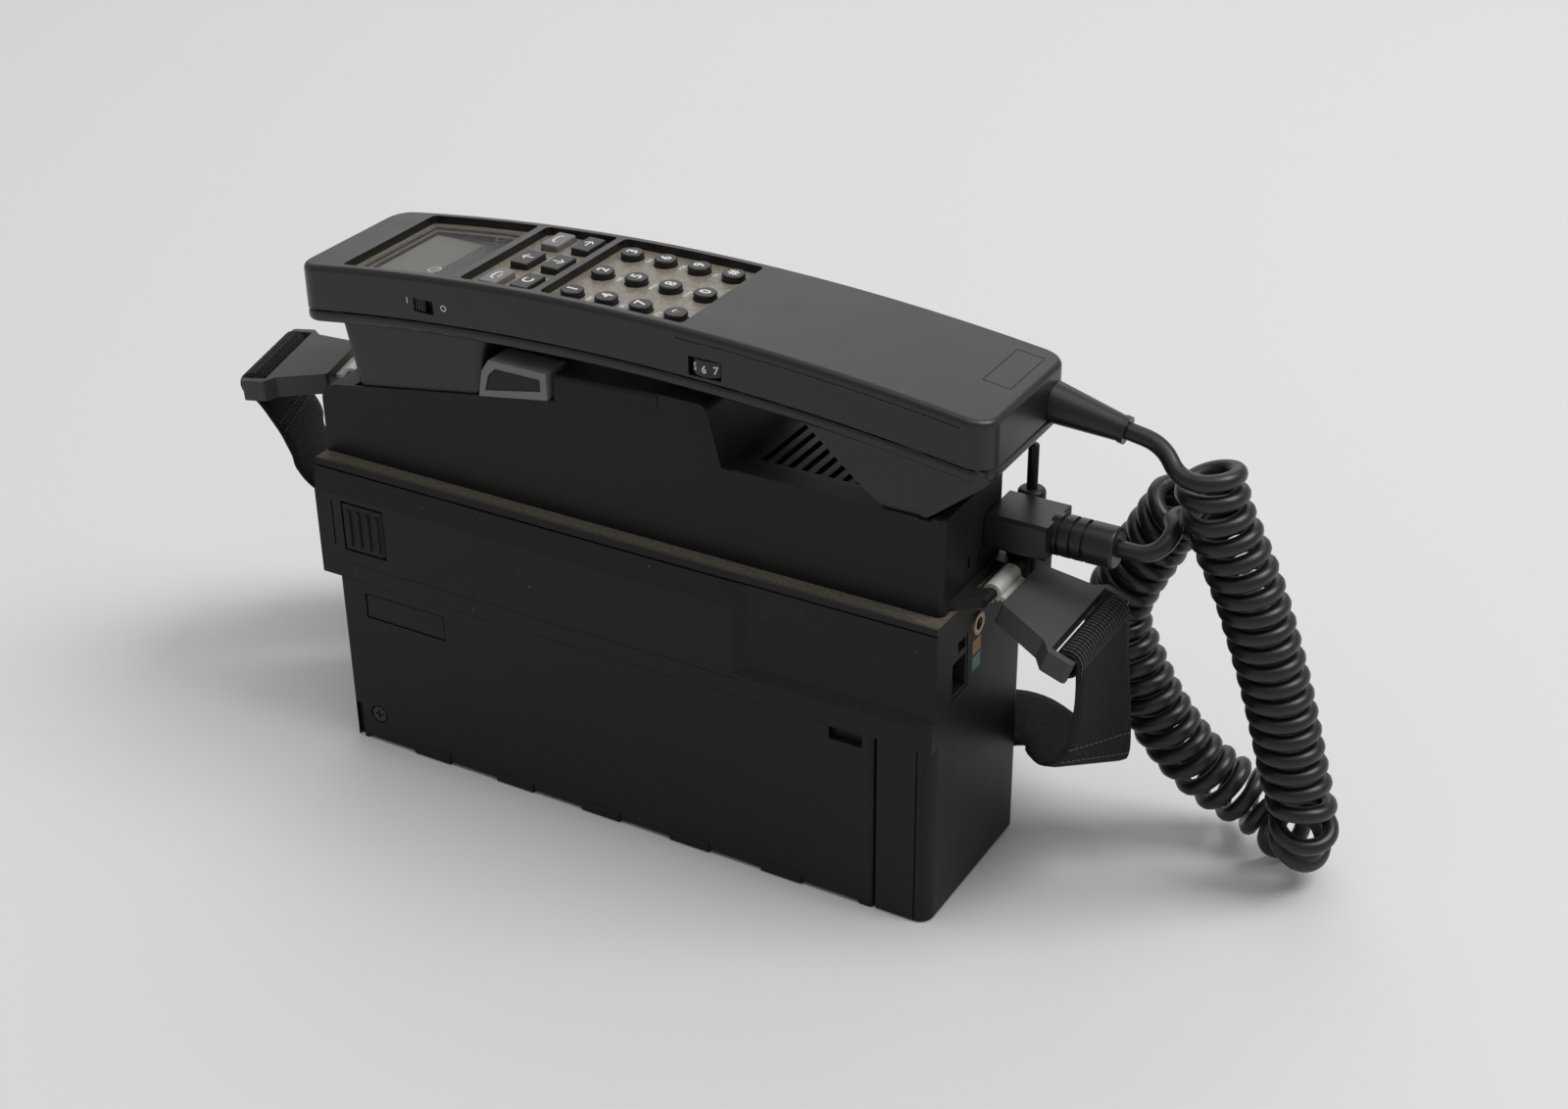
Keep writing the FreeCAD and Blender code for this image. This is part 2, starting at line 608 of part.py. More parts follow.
def radio_housing():
    """The radio's shell: closed top, open underside, raised front panel and side sockets."""
    front = radio_front_y()
    shell = block(RADIO_LEFT, X_RIGHT, front, Y_BACK, RADIO_BOTTOM, RADIO_TOP)
    panel_top = RADIO_TOP - PANEL_BEVEL
    panel = side_prism([(RADIO_LEFT, RADIO_BOTTOM), (PANEL_END_X - PANEL_SIDE_BEVEL, RADIO_BOTTOM),
                        (PANEL_END_X - PANEL_SIDE_BEVEL, panel_top), (RADIO_LEFT, panel_top)],
                       Y_FRONT, front + 1)
    top_bevel = prism([V(RADIO_LEFT, Y_FRONT, panel_top), V(RADIO_LEFT, front, RADIO_TOP),
                       V(RADIO_LEFT, front + 1, RADIO_TOP), V(RADIO_LEFT, front + 1, panel_top)],
                      V(PANEL_END_X - PANEL_SIDE_BEVEL - RADIO_LEFT, 0, 0))
    bevel_x = PANEL_END_X - PANEL_SIDE_BEVEL
    side_bevel = prism([V(bevel_x, Y_FRONT, RADIO_BOTTOM), V(PANEL_END_X, front, RADIO_BOTTOM),
                        V(PANEL_END_X, front + 1, RADIO_BOTTOM), V(bevel_x, front + 1, RADIO_BOTTOM)],
                       V(0, 0, panel_top - RADIO_BOTTOM))
    corner = Part.makeLoft([
        Part.makePolygon([V(bevel_x, Y_FRONT, panel_top), V(PANEL_END_X, front, panel_top),
                          V(PANEL_END_X, front + 1, panel_top), V(bevel_x, front + 1, panel_top),
                          V(bevel_x, Y_FRONT, panel_top)]),
        Part.makePolygon([V(bevel_x, front - 0.01, RADIO_TOP), V(PANEL_END_X, front, RADIO_TOP),
                          V(PANEL_END_X, front + 1, RADIO_TOP), V(bevel_x, front + 1, RADIO_TOP),
                          V(bevel_x, front - 0.01, RADIO_TOP)])], True, True)
    sill = prism([V(bevel_x, Y_FRONT, RADIO_BOTTOM), V(bevel_x, Y_FRONT, RADIO_BOTTOM + SILL_HEIGHT),
                  V(bevel_x, front + 0.1, RADIO_BOTTOM + SILL_HEIGHT + PANEL_PROUD),
                  V(bevel_x, front + 1, RADIO_BOTTOM)], V(X_RIGHT - bevel_x, 0, 0))
    shell = joined([shell, panel, top_bevel, side_bevel, corner, sill])
    shell = rounded(shell, CORNER_ROUND, lambda e: upright(e) and e.Length > RADIO_HEIGHT - 1
                    and e.Vertexes[0].Y > 0)
    inside = block(RADIO_LEFT + WALL, X_RIGHT - WALL, front + WALL, Y_BACK - WALL,
                   RADIO_BOTTOM - 1, RADIO_TOP - WALL)
    inside = rounded(inside, 2.0, upright)
    top_hole = block(CRADLE_LEFT + 20, CRADLE_RIGHT - 20, CRADLE_FRONT + 10, CRADLE_BACK - 10,
                     RADIO_TOP - WALL - 1, RADIO_TOP + 1)
    groove = block(RADIO_LEFT + 6.0, RADIO_LEFT + 6.5, Y_FRONT - 1, Y_FRONT + 0.5,
                   LATCH_LOW_Z, LATCH_LOW_Z + LATCH_HEIGHT)
    seam = block(RADIO_LEFT + 10, PANEL_END_X, Y_FRONT - 1, Y_FRONT + 0.3, RADIO_BOTTOM + PANEL_SEAM,
                 RADIO_BOTTOM + PANEL_SEAM + 0.15)
    ledge = block(RADIO_LEFT - 1, X_RIGHT + 1, front - 1, front + 0.6, RADIO_TOP - 2.6, RADIO_TOP - 2.0)
    socket = block(X_RIGHT - WALL - 1, X_RIGHT + 1, *SOCKET_Y, *SOCKET_Z)
    tab = block(X_RIGHT - WALL - 1, X_RIGHT + 1, *SOCKET_TAB_Y, SOCKET_Z[1] - 0.1, SOCKET_TAB_Z)
    jack = rod(V(X_RIGHT - WALL - 1, JACK_Y, JACK_Z), OUT, JACK_RADIUS, WALL + 2)
    return shell.cut([inside, top_hole, groove, seam, ledge, latch_box(LATCH_SLOT), socket, tab, jack])


def battery_latch():
    """The ribbed tab that bends in to free the battery pack; its root end is round."""
    left = LATCH_ROOT_X - LATCH_LENGTH
    radius = (WALL + PANEL_PROUD) / 2
    hinge = V(LATCH_ROOT_X - LATCH_HINGE_GAP - radius, Y_FRONT + radius, LATCH_LOW_Z)
    tongue = block(left, hinge.x, Y_FRONT, Y_FRONT + 2 * radius, LATCH_LOW_Z,
                   LATCH_LOW_Z + LATCH_HEIGHT)
    root = rod(hinge, UP, radius, LATCH_HEIGHT)
    ribs = []
    for i in range(LATCH_RIBS):
        x = left + 2.2 + i * LATCH_RIB_PITCH
        ribs.append(rod(V(x, Y_FRONT, LATCH_LOW_Z + 1.4), UP, 0.7, LATCH_HEIGHT - 3.4))
    return joined([tongue, root] + ribs)


def radio_base_plate():
    """The plate that closes the radio's underside and carries the battery rails."""
    front = radio_front_y()
    plate = block(RADIO_LEFT + WALL + 0.1, X_RIGHT - WALL - 0.1, front + WALL + 0.1,
                  Y_BACK - WALL - 0.1, RADIO_BOTTOM, RADIO_BOTTOM + WALL)
    plate = rounded(plate, 2.0, upright)
    bars = rails(0.0, RADIO_LEFT + 16, BATTERY_RIGHT - 10)
    posts = []
    for x in (RADIO_LEFT + 14, X_RIGHT - 18):
        for y in (front + 9, Y_BACK - 9):
            posts.append(rod(V(x, y, RADIO_BOTTOM + WALL - 1), UP, 3.0, 7.0))
    return joined([plate] + bars + posts)


RADIO_BOARD_Z = RADIO_BOTTOM + WALL + 6.0
CAN_HEIGHTS = (9.0, 11.0, 14.0)
CAN_GAP = 5.0
CAN_WALL = 0.6


def transceiver_board():
    """The radio's circuit board on the base plate's posts, with its side connectors' blocks."""
    front = radio_front_y()
    board = block(RADIO_LEFT + WALL + 3, X_RIGHT - WALL - 2, front + WALL + 2, Y_BACK - WALL - 2,
                  RADIO_BOARD_Z, RADIO_BOARD_Z + BOARD_THICKNESS)
    connector = block(X_RIGHT - WALL - 10, X_RIGHT - WALL - 3.2, JACK_Y - 4, JACK_Y + 4,
                      RADIO_BOARD_Z + 1, JACK_Z + 4)
    return joined([board, connector])


def shield_cans():
    """Three tinned screening cans over the receiver, synthesiser and transmitter."""
    top = RADIO_BOARD_Z + BOARD_THICKNESS
    cans = []
    pitch = (BODY_LENGTH - 38) / len(CAN_HEIGHTS)
    half = Y_BACK - 10
    for i, height in enumerate(CAN_HEIGHTS):
        x0 = X_LEFT + 8 + i * pitch
        x1 = x0 + pitch - CAN_GAP
        can = block(x0, x1, -half, half, top, top + height)
        hollow = block(x0 + CAN_WALL, x1 - CAN_WALL, -half + CAN_WALL, half - CAN_WALL, top - 1,
                       top + height - CAN_WALL)
        cans.append(rounded(can, 1.5, upright).cut(hollow))
    return Part.makeCompound(cans)


def power_connector():
    """The power socket in the right face: a body with a keyed shroud and five pins."""
    y0, y1 = SOCKET_Y[0] + 0.1, SOCKET_Y[1] - 0.1
    z0, z1 = SOCKET_Z[0] + 0.1, SOCKET_Z[1] - 0.1
    face = X_RIGHT - 0.2
    body = block(face - 12, face, y0, y1, z0, z1)
    hollow = block(face - 9, face + 1, y0 + 1.2, y1 - 1.2, z0 + 1.2, z1 - 1.2)
    tab = block(face - 12, face, SOCKET_TAB_Y[0] + 0.1, SOCKET_TAB_Y[1] - 0.1, z1 - 0.5,
                SOCKET_TAB_Z - 0.1)
    tab_hollow = block(face - 4, face + 1, SOCKET_TAB_Y[0] + 1.1, SOCKET_TAB_Y[1] - 1.1,
                       z1 + 0.8, SOCKET_TAB_Z - 1.1)
    pins = []
    for i in range(5):
        y = (y0 + y1) / 2 + (-2.4 if i < 2 else 2.4)
        z = z0 + 3.2 + (i % 3) * 3.0 + (1.5 if i < 2 else 0.0)
        pins.append(rod(V(face - 10, y, z), OUT, 0.7, 5.0))
    return joined([joined([body, tab]).cut([hollow, tab_hollow])] + pins)


def headset_jack():
    """The round jack with its plated ring."""
    barrel = rod(V(X_RIGHT - 5.2, JACK_Y, JACK_Z), OUT, JACK_RADIUS - 0.05, 5.2)
    ring = rod(V(X_RIGHT, JACK_Y, JACK_Z), OUT, JACK_RADIUS + 0.4, 0.6)
    bore = rod(V(X_RIGHT - 4.0, JACK_Y, JACK_Z), OUT, JACK_RADIUS - 1.0, 5.6)
    return joined([barrel, ring]).cut(bore)


DOCK_LENGTH = 8.4
DOCK_Y = (14.8, 29.5)
DOCK_Z = (RADIO_TOP - 10.9, RADIO_TOP + 8.1)
ANTENNA_X = X_RIGHT + 2.8
ANTENNA_Y = 24.6
COLLAR_RADIUS = 4.1
COLLAR_HEIGHT = 12.0
MAST_RADIUS = 1.6
MAST_TOP = RADIO_TOP + 34.1


def connector_dock():
    """The moulded block at the rear right corner that carries the antenna."""
    body = block(X_RIGHT, X_RIGHT + DOCK_LENGTH, *DOCK_Y, *DOCK_Z)
    body = rounded(body, 1.8, lambda e: upright(e) and e.Vertexes[0].X > X_RIGHT + 1)
    hole = rod(V(ANTENNA_X, ANTENNA_Y, DOCK_Z[1] - 6), UP, 2.0, 7)
    return body.cut(hole)


def antenna():
    """A short antenna: threaded foot, stepped collar and a slim mast."""
    foot_rod = rod(V(ANTENNA_X, ANTENNA_Y, DOCK_Z[1] - 5.9), UP, 1.95, 6.5)
    collar = rod(V(ANTENNA_X, ANTENNA_Y, DOCK_Z[1]), UP, COLLAR_RADIUS, COLLAR_HEIGHT)
    collar = rounded(collar, 1.6, lambda e: abs(e.BoundBox.ZMin - DOCK_Z[1] - COLLAR_HEIGHT) < 0.01)
    mast = rod(V(ANTENNA_X, ANTENNA_Y, DOCK_Z[1] + COLLAR_HEIGHT - 1), UP, MAST_RADIUS,
               MAST_TOP - DOCK_Z[1] - COLLAR_HEIGHT + 1)
    mast = rounded(mast, 1.0, lambda e: abs(e.BoundBox.ZMin - MAST_TOP) < 0.01)
    return joined([foot_rod, collar, mast])


# Cradle

def slope_z(x):
    """The height of the cradle wall's sloping top edge at x."""
    rise = (CRADLE_SLOPE_RIGHT_Z - CRADLE_SLOPE_LEFT_Z) / (CRADLE_SLOPE_RIGHT_X - CRADLE_LEFT)
    return CRADLE_SLOPE_LEFT_Z + rise * (x - CRADLE_LEFT)


def cradle_outline(inset, bottom):
    """The cradle's side outline as (x, z) pairs, moved in by inset."""
    left, right = CRADLE_LEFT + inset, CRADLE_RIGHT - inset
    wall_x = CRADLE_SLOPE_RIGHT_X + inset
    return [
        (left, bottom),
        (left, slope_z(left) - inset),
        (wall_x, slope_z(CRADLE_SLOPE_RIGHT_X) - inset),
        (wall_x, CHEEK_TOP_Z - inset),
        (CHEEK_TOP_X - inset, CHEEK_TOP_Z - inset),
        (CHEEK_FOOT_X - inset, DECK_Z - inset),
        (right, DECK_Z - inset),
        (right, bottom),
    ]


def ear_hump_outline(grow, bottom_grow):
    """The earpiece hump's side outline as (x, z) pairs."""
    top = LIP_BOTTOM + 1
    bottom = EAR_HUMP_BOTTOM - bottom_grow
    return [
        (EAR_HUMP_LEFT - grow, top),
        (EAR_HUMP_LEFT + EAR_HUMP_TAPER_LEFT - grow, bottom),
        (EAR_HUMP_RIGHT - EAR_HUMP_TAPER_RIGHT + grow, bottom),
        (EAR_HUMP_RIGHT + grow, top),
    ]


def well(extra, y_extra, bottom_extra):
    """The pocket for the earpiece hump, grown by a wall or a clearance."""
    y0 = HANDSET_Y - HANDSET_WIDTH / 2 + HUMP_INSET
    y1 = HANDSET_Y + HANDSET_WIDTH / 2 - HUMP_INSET
    return side_prism(ear_hump_outline(extra, bottom_extra), y0 - y_extra, y1 + y_extra)


CRADLE_WALL = 1.6
WELL_SIDE = 0.35


def notch_box(extra):
    """The cut-away corner of the cradle where the antenna stands."""
    return block(CRADLE_RIGHT - NOTCH_LENGTH - extra, CRADLE_RIGHT + 1,
                 CRADLE_BACK - NOTCH_WIDTH - extra, CRADLE_BACK + 1, RADIO_TOP - 1, DECK_Z + 10)


def lug(end, wall_x, wide_front, wide_back):
    """A tongue with a round bar at its end, cut open for the hook; wall_x is where it is rooted."""
    pivot, droop, yaw = end
    side = 1 if pivot.x > wall_x else -1
    radius = LUG_THICKNESS / 2
    half = LUG_WIDTH / 2
    along = FreeCAD.Rotation(UP, yaw).multVec(BACK)
    low = V(pivot.x, pivot.y, pivot.z - radius)
    root_x = wall_x - side * 1.0
    outline = [V(root_x, pivot.y - half - wide_front, low.z), low - along * half,
               low + along * half, V(root_x, pivot.y + half + wide_back, low.z)]
    plate = prism(outline, V(0, 0, LUG_THICKNESS))
    bar = rod(pivot - along * half, along, radius, LUG_WIDTH)
    gap = HOOK_WIDTH / 2 + 0.6
    near_x = wall_x + side * 0.6
    start = low - UP
    wide = gap + 1.5
    window = prism([V(near_x, pivot.y - wide, start.z), start - along * gap, start + along * gap,
                    V(near_x, pivot.y + wide, start.z)], V(0, 0, LUG_THICKNESS + 2))
    return joined([plate.cut(window), bar])


def cradle_housing():
    """The cradle: sloping walls, earpiece well, speaker deck, end rim and strap lugs."""
    outer = side_prism(cradle_outline(0.0, RADIO_TOP), CRADLE_FRONT, CRADLE_BACK)
    outer = rounded(outer, 6.0, lambda e: runs_along(e, BACK)
                    and abs(e.Vertexes[0].X - CRADLE_LEFT) < 0.01 and e.Vertexes[0].Z > RADIO_TOP + 5)
    outer = rounded(outer, 3.0, lambda e: runs_along(e, BACK)
                    and abs(e.Vertexes[0].X - CHEEK_TOP_X) < 0.01)
    rim = block(CRADLE_RIGHT - END_RIM, CRADLE_RIGHT, CRADLE_FRONT, CRADLE_BACK - NOTCH_WIDTH,
                DECK_Z - 1, DECK_Z + END_RIM_RISE)
    front_rim = block(CHEEK_FOOT_X + 4, CRADLE_RIGHT - END_RIM - 4, CRADLE_FRONT,
                      CRADLE_FRONT + FRONT_RIM, DECK_Z - 1, DECK_Z + 0.4)
    outer = joined([outer, rim, front_rim]).cut(notch_box(0.0))
    outer = rounded(outer, 2.0, lambda e: upright(e) and e.Length > 12
                    and e.Vertexes[0].X > CRADLE_RIGHT - 0.1 and e.Vertexes[0].Y < 0)
    inner = side_prism(cradle_outline(CRADLE_WALL, RADIO_TOP - 1), CRADLE_FRONT + CRADLE_WALL,
                       CRADLE_BACK - CRADLE_WALL).cut(notch_box(CRADLE_WALL))
    pocket_wall = well(WELL_CLEARANCE + CRADLE_WALL, WELL_SIDE, REST_GAP + CRADLE_WALL)
    inner = inner.cut(pocket_wall)
    grille_x1 = GRILLE_LEFT + GRILLE_LENGTH
    half = GRILLE_WIDTH / 2
    seat = block(GRILLE_LEFT, grille_x1, HANDSET_Y - half, HANDSET_Y + half,
                 DECK_Z - 1.0, DECK_Z + 1)
    opening = block(GRILLE_LEFT + GRILLE_LEDGE, grille_x1 - GRILLE_LEDGE,
                    HANDSET_Y - half + GRILLE_LEDGE, HANDSET_Y + half - GRILLE_LEDGE,
                    DECK_Z - CRADLE_WALL - 1, DECK_Z + 1)
    plug_hole = plug_nose(CRADLE_RIGHT - CRADLE_WALL - 1, CRADLE_RIGHT + 1, PLUG_NOSE_CLEARANCE)
    slot_x = (BUTTON_LEFT + BUTTON_RIGHT) / 2
    tail_slot = block(slot_x - LATCH_HOOK_WIDTH / 2 - 1, slot_x + LATCH_HOOK_WIDTH / 2 + 1,
                      CRADLE_FRONT + BUTTON_DEPTH + 3, HANDSET_Y + 10, slope_z(slot_x) - 6,
                      slope_z(slot_x) + 6)
    holes = [inner, well(WELL_CLEARANCE, WELL_SIDE, REST_GAP), seat, opening, plug_hole, tail_slot]
    body = outer.cut(holes)
    lugs = [lug(LEFT_END, CRADLE_LEFT, 0, 0), lug(RIGHT_END, CRADLE_RIGHT, 7.0, 0.0)]
    detail = [block(CRADLE_RIGHT - 0.5, CRADLE_RIGHT + 1, -9.0, -5.6, RADIO_TOP + 7.6, RADIO_TOP + 11.9),
              block(CRADLE_RIGHT - 0.5, CRADLE_RIGHT + 1, -0.8, 1.2, RADIO_TOP + 6.1, RADIO_TOP + 10.6)]
    return joined([body] + lugs).cut(detail)


def plug_nose(x0, x1, grow):
    """The plug's nose, grown for its hole; its back clears the corner cut for the antenna."""
    reach_y = PLUG_WIDTH / 2 - PLUG_NOSE_MARGIN
    half_z = PLUG_HEIGHT / 2 - PLUG_NOSE_MARGIN + grow
    back = CRADLE_BACK - NOTCH_WIDTH - CRADLE_WALL - 2 * PLUG_NOSE_CLEARANCE
    return block(x0, x1, PLUG_Y - reach_y - grow, back + grow, PLUG_Z - half_z, PLUG_Z + half_z)


def deck_grille():
    """The slotted plate over the loudspeaker."""
    half = GRILLE_WIDTH / 2 - 0.1
    thickness = GRILLE_THICKNESS / 2
    plate = block(GRILLE_LEFT + 0.1, GRILLE_LEFT + GRILLE_LENGTH - 0.1, HANDSET_Y - half,
                  HANDSET_Y + half, DECK_Z - thickness, DECK_Z)
    lip = GRILLE_LEDGE + 0.1
    boss = block(GRILLE_LEFT + lip, GRILLE_LEFT + GRILLE_LENGTH - lip,
                 HANDSET_Y - half + GRILLE_LEDGE, HANDSET_Y + half - GRILLE_LEDGE,
                 DECK_Z - GRILLE_THICKNESS, DECK_Z - thickness + 0.1)
    slots = []
    for i in range(VENT_COUNT):
        x = GRILLE_LEFT + 2.6 + i * VENT_PITCH
        slots.append(block(x, x + VENT_WIDTH, HANDSET_Y - half + 3, HANDSET_Y + half - 3,
                           DECK_Z - GRILLE_THICKNESS - 1, DECK_Z + 1))
    return joined([plate, boss]).cut(slots)


def loudspeaker():
    """The hands-free loudspeaker under the grille: flange, cone basket and magnet."""
    top = DECK_Z - GRILLE_THICKNESS
    centre = V(GRILLE_LEFT + GRILLE_LENGTH / 2, HANDSET_Y, top)
    radius = SPEAKER_DIAMETER / 2
    flange = rod(centre - UP * 1.5, UP, radius, 1.5)
    basket = Part.makeCone(radius * 0.5, radius * 0.92, SPEAKER_DEPTH * 0.45,
                           centre - UP * (1.5 + SPEAKER_DEPTH * 0.45), UP)
    magnet = rod(centre - UP * SPEAKER_DEPTH, UP, radius * 0.5, SPEAKER_DEPTH * 0.55)
    cone = Part.makeCone(radius * 0.25, radius * 0.8, 5.0, centre - UP * 5.0, UP)
    return joined([flange, basket, magnet]).cut(cone)


def button_outline(inset):
    """The release button's front outline as (x, z) pairs, moved in by inset."""
    gap = 0.3 + inset
    return [
        (BUTTON_LEFT + inset, slope_z(BUTTON_LEFT) + gap),
        (BUTTON_LEFT + BUTTON_SLANT * 0.35 + inset, BUTTON_TOP_Z - 4.0 - inset * 0.4),
        (BUTTON_LEFT + BUTTON_SLANT + inset, BUTTON_TOP_Z - inset),
        (BUTTON_RIGHT - inset, BUTTON_TOP_Z - inset),
        (BUTTON_RIGHT - inset, slope_z(BUTTON_RIGHT) + gap),
    ]


def button_front():
    """The front face of the release button."""
    return CRADLE_FRONT - BUTTON_PROUD


def release_button():
    """The handset release: a light frame with a tail that ends in the latch post."""
    front = button_front()
    frame = side_prism(button_outline(0.0), front, front + BUTTON_DEPTH)
    pocket = side_prism(button_outline(BUTTON_FRAME), front - 1, front + INSERT_DEPTH)
    middle = (BUTTON_LEFT + BUTTON_RIGHT) / 2
    half = LATCH_HOOK_WIDTH / 2
    base = slope_z(middle + half) + 0.8
    tail = block(middle - half, middle + half, front + BUTTON_DEPTH - 1, HANDSET_Y, base,
                 base + LATCH_HOOK_THICKNESS)
    post_top = LIP_BOTTOM - drop(middle) + 1.2
    post = block(middle - half, middle + half, HANDSET_Y - LATCH_HOOK_THICKNESS, HANDSET_Y,
                 base, post_top)
    return joined([frame.cut(pocket), tail, post])


def button_insert():
    """The dark thumb pad let into the release button."""
    front = button_front()
    return side_prism(button_outline(BUTTON_FRAME + 0.1), front + 0.3, front + INSERT_DEPTH)


def latch_wedge():
    """The raised cover beside the button, on top of the cradle wall."""
    left = BUTTON_RIGHT + 1.9
    right = CRADLE_SLOPE_RIGHT_X - 0.25
    body = side_prism([(left, slope_z(left) + 0.05), (right, slope_z(right) + 0.05),
                       (right, CHEEK_TOP_Z - 0.1), (left, WEDGE_TOP_LEFT_Z)],
                      CRADLE_FRONT, CRADLE_BACK)
    return rounded(body, 1.4, lambda e: e.BoundBox.ZMin > WEDGE_TOP_LEFT_Z - 0.2
                   and e.BoundBox.XLength > 10)


# Handset

def handset_bar(inset, top, bottom):
    """The handset's arched bar, moved in by inset on its sides and ends."""
    half = HANDSET_WIDTH / 2 - inset
    bar = arched(-HALF_HANDSET + inset, HALF_HANDSET - inset, HANDSET_Y - half, HANDSET_Y + half,
                 top, bottom)
    return rounded(bar, max(HANDSET_CORNER - inset, 1.0), upright)


def panel_recess(ends, deeper=0.0, margin=0.0):
    """The cut for one recessed panel of the face."""
    half = PANEL_WIDTH / 2 - margin
    cut = arched(ends[0] + margin, ends[1] - margin, HANDSET_Y - half, HANDSET_Y + half,
                 HANDSET_TOP + 3, PANEL_FLOOR - deeper)
    return rounded(cut, 1.5, upright)


NUMBER_KEYS = [
    [("key_1", -1), ("key_2", 0), ("key_3", 1)],
    [("key_4", -1), ("key_5", 0), ("key_6", 1)],
    [("key_7", -1), ("key_8", 0), ("key_9", 1)],
    [("key_star", -1), ("key_0", 0), ("key_hash", 1)],
]
FUNCTION_KEYS = [
    [("hook_key_end", -1), ("up_key", 0), ("hook_key_send", 1)],
    [("clear_key", -1), ("down_key", 0), ("function_key", 1)],
]


def key_places():
    """Each key as (name, x, y, is_round)."""
    places = []
    for column, keys in enumerate(NUMBER_KEYS):
        for name, row in keys:
            places.append((name, KEY_FIRST_X + column * KEY_PITCH_X,
                           HANDSET_Y + row * KEY_PITCH_Y, True))
    for column, keys in enumerate(FUNCTION_KEYS):
        for name, row in keys:
            places.append((name, FUNCTION_FIRST_X + column * FUNCTION_PITCH_X,
                           HANDSET_Y + row * KEY_PITCH_Y, False))
    return places


def key_bar(x, y, is_round, grow, z0, z1):
    """A key's upright bar, round or oblong, grown for its hole or its flange."""
    if is_round:
        return rod(V(x, y, z0), UP, KEY_DIAMETER / 2 + grow, z1 - z0)
    half_x = FUNCTION_KEY_LENGTH / 2 + grow
    half_y = FUNCTION_KEY_WIDTH / 2 + grow
    bar = block(x - half_x, x + half_x, y - half_y, y + half_y, z0, z1)
    return rounded(bar, 0.8, upright)


def key(x, y, is_round):
    """One key: a cap through the face and a flange under it."""
    top = PANEL_FLOOR + KEY_HEIGHT - drop(x)
    flange_top = FACE_INNER - FLANGE_GAP - drop(x)
    flange = key_bar(x, y, is_round, FLANGE_REACH, flange_top - FLANGE_THICKNESS, flange_top)
    cap = key_bar(x, y, is_round, 0.0, flange_top - 0.5, top)
    cap = rounded(cap, 0.5, lambda e: e.BoundBox.ZMin > top - 0.01)
    return joined([flange, cap])


def handset_front():
    """The front side of the handset."""
    return HANDSET_Y - HANDSET_WIDTH / 2


SCREW_PLACES = [(x, HANDSET_Y + side * 18.0) for x in (-107.0, 48.0) for side in (-1, 1)]
SCREW_RADIUS = 1.2
BOSS_RADIUS = 2.8


def wheel_bay():
    """The volume wheel's window in the handset's front wall and the space that it turns in."""
    half = WHEEL_WINDOW / 2
    low = WHEEL_Z - WHEEL_THICKNESS / 2 - WHEEL_GAP
    window = block(WHEEL_X - half, WHEEL_X + half, handset_front() - 1,
                   handset_front() + HANDSET_WALL + 1, low, low + WHEEL_THICKNESS + 2 * WHEEL_GAP)
    bay = rod(V(WHEEL_X, wheel_centre_y(), low), UP, WHEEL_DIAMETER / 2 + WHEEL_GAP,
              WHEEL_THICKNESS + 2 * WHEEL_GAP)
    return [window, bay]


def wheel_centre_y():
    """The wheel's axis, placed so that its rim just shows in the window."""
    return handset_front() + WHEEL_DIAMETER / 2 - 0.4


def handset_upper_shell():
    """The face half of the handset with its panels, key holes, window and side openings."""
    shell = handset_bar(0.0, HANDSET_TOP, PARTING)
    shell = rounded(shell, HANDSET_EDGE, lambda e: e.BoundBox.ZMin > PARTING + 1
                    and not upright(e))
    cavity = handset_bar(HANDSET_WALL, FACE_INNER, PARTING - 1)
    cuts = [cavity, panel_recess(DISPLAY_PANEL), panel_recess(FUNCTION_PANEL),
            panel_recess(NUMBER_PANEL)]
    half = PANEL_WIDTH / 2 - WINDOW_MARGIN
    x0, x1 = DISPLAY_PANEL[0] + WINDOW_MARGIN, DISPLAY_PANEL[1] - 1.0
    seat = PANEL_FLOOR - WINDOW_THICKNESS + WINDOW_SINK
    cuts.append(arched(x0, x1, HANDSET_Y - half, HANDSET_Y + half, HANDSET_TOP + 2, seat))
    cuts.append(arched(x0 + WINDOW_LEDGE, x1 - WINDOW_LEDGE, HANDSET_Y - half + WINDOW_LEDGE,
                       HANDSET_Y + half - WINDOW_LEDGE, HANDSET_TOP + 2, FACE_INNER - 1))
    for name, x, y, is_round in key_places():
        cuts.append(key_bar(x, y, is_round, KEY_CLEARANCE, FACE_INNER - 6, HANDSET_TOP + 2))
    front = handset_front()
    cuts.append(block(SWITCH_X - SWITCH_LENGTH / 2, SWITCH_X + SWITCH_LENGTH / 2, front - 1,
                      front + HANDSET_WALL + 1, SWITCH_Z - SWITCH_HEIGHT / 2,
                      SWITCH_Z + SWITCH_HEIGHT / 2))
    cuts += wheel_bay()
    start, way = relief_axis()
    cuts.append(rod(start - way * 6, way, RELIEF_BORE + 0.05, 8))
    groove_z = HANDSET_TOP - HANDSET_EDGE - 0.9
    cuts.append(arched(20.0, 106.0, front - 1, front + 0.35, groove_z, groove_z - 0.7))
    shell = shell.cut(cuts)
    bosses = []
    for x, y in SCREW_PLACES:
        low = PARTING - drop(x) + 0.3
        tube = rod(V(x, y, low), UP, BOSS_RADIUS, FACE_INNER - drop(x) - low + 0.8)
        bosses.append(tube.cut(rod(V(x, y, low - 1), UP, SCREW_RADIUS + 0.05, 7)))
    axle = rod(V(WHEEL_X, wheel_centre_y(), WHEEL_Z - WHEEL_THICKNESS / 2 - 0.3), UP, WHEEL_AXLE,
               FACE_INNER - drop(WHEEL_X) - WHEEL_Z + WHEEL_THICKNESS / 2 + 0.8)
    return joined([shell] + bosses + [axle])


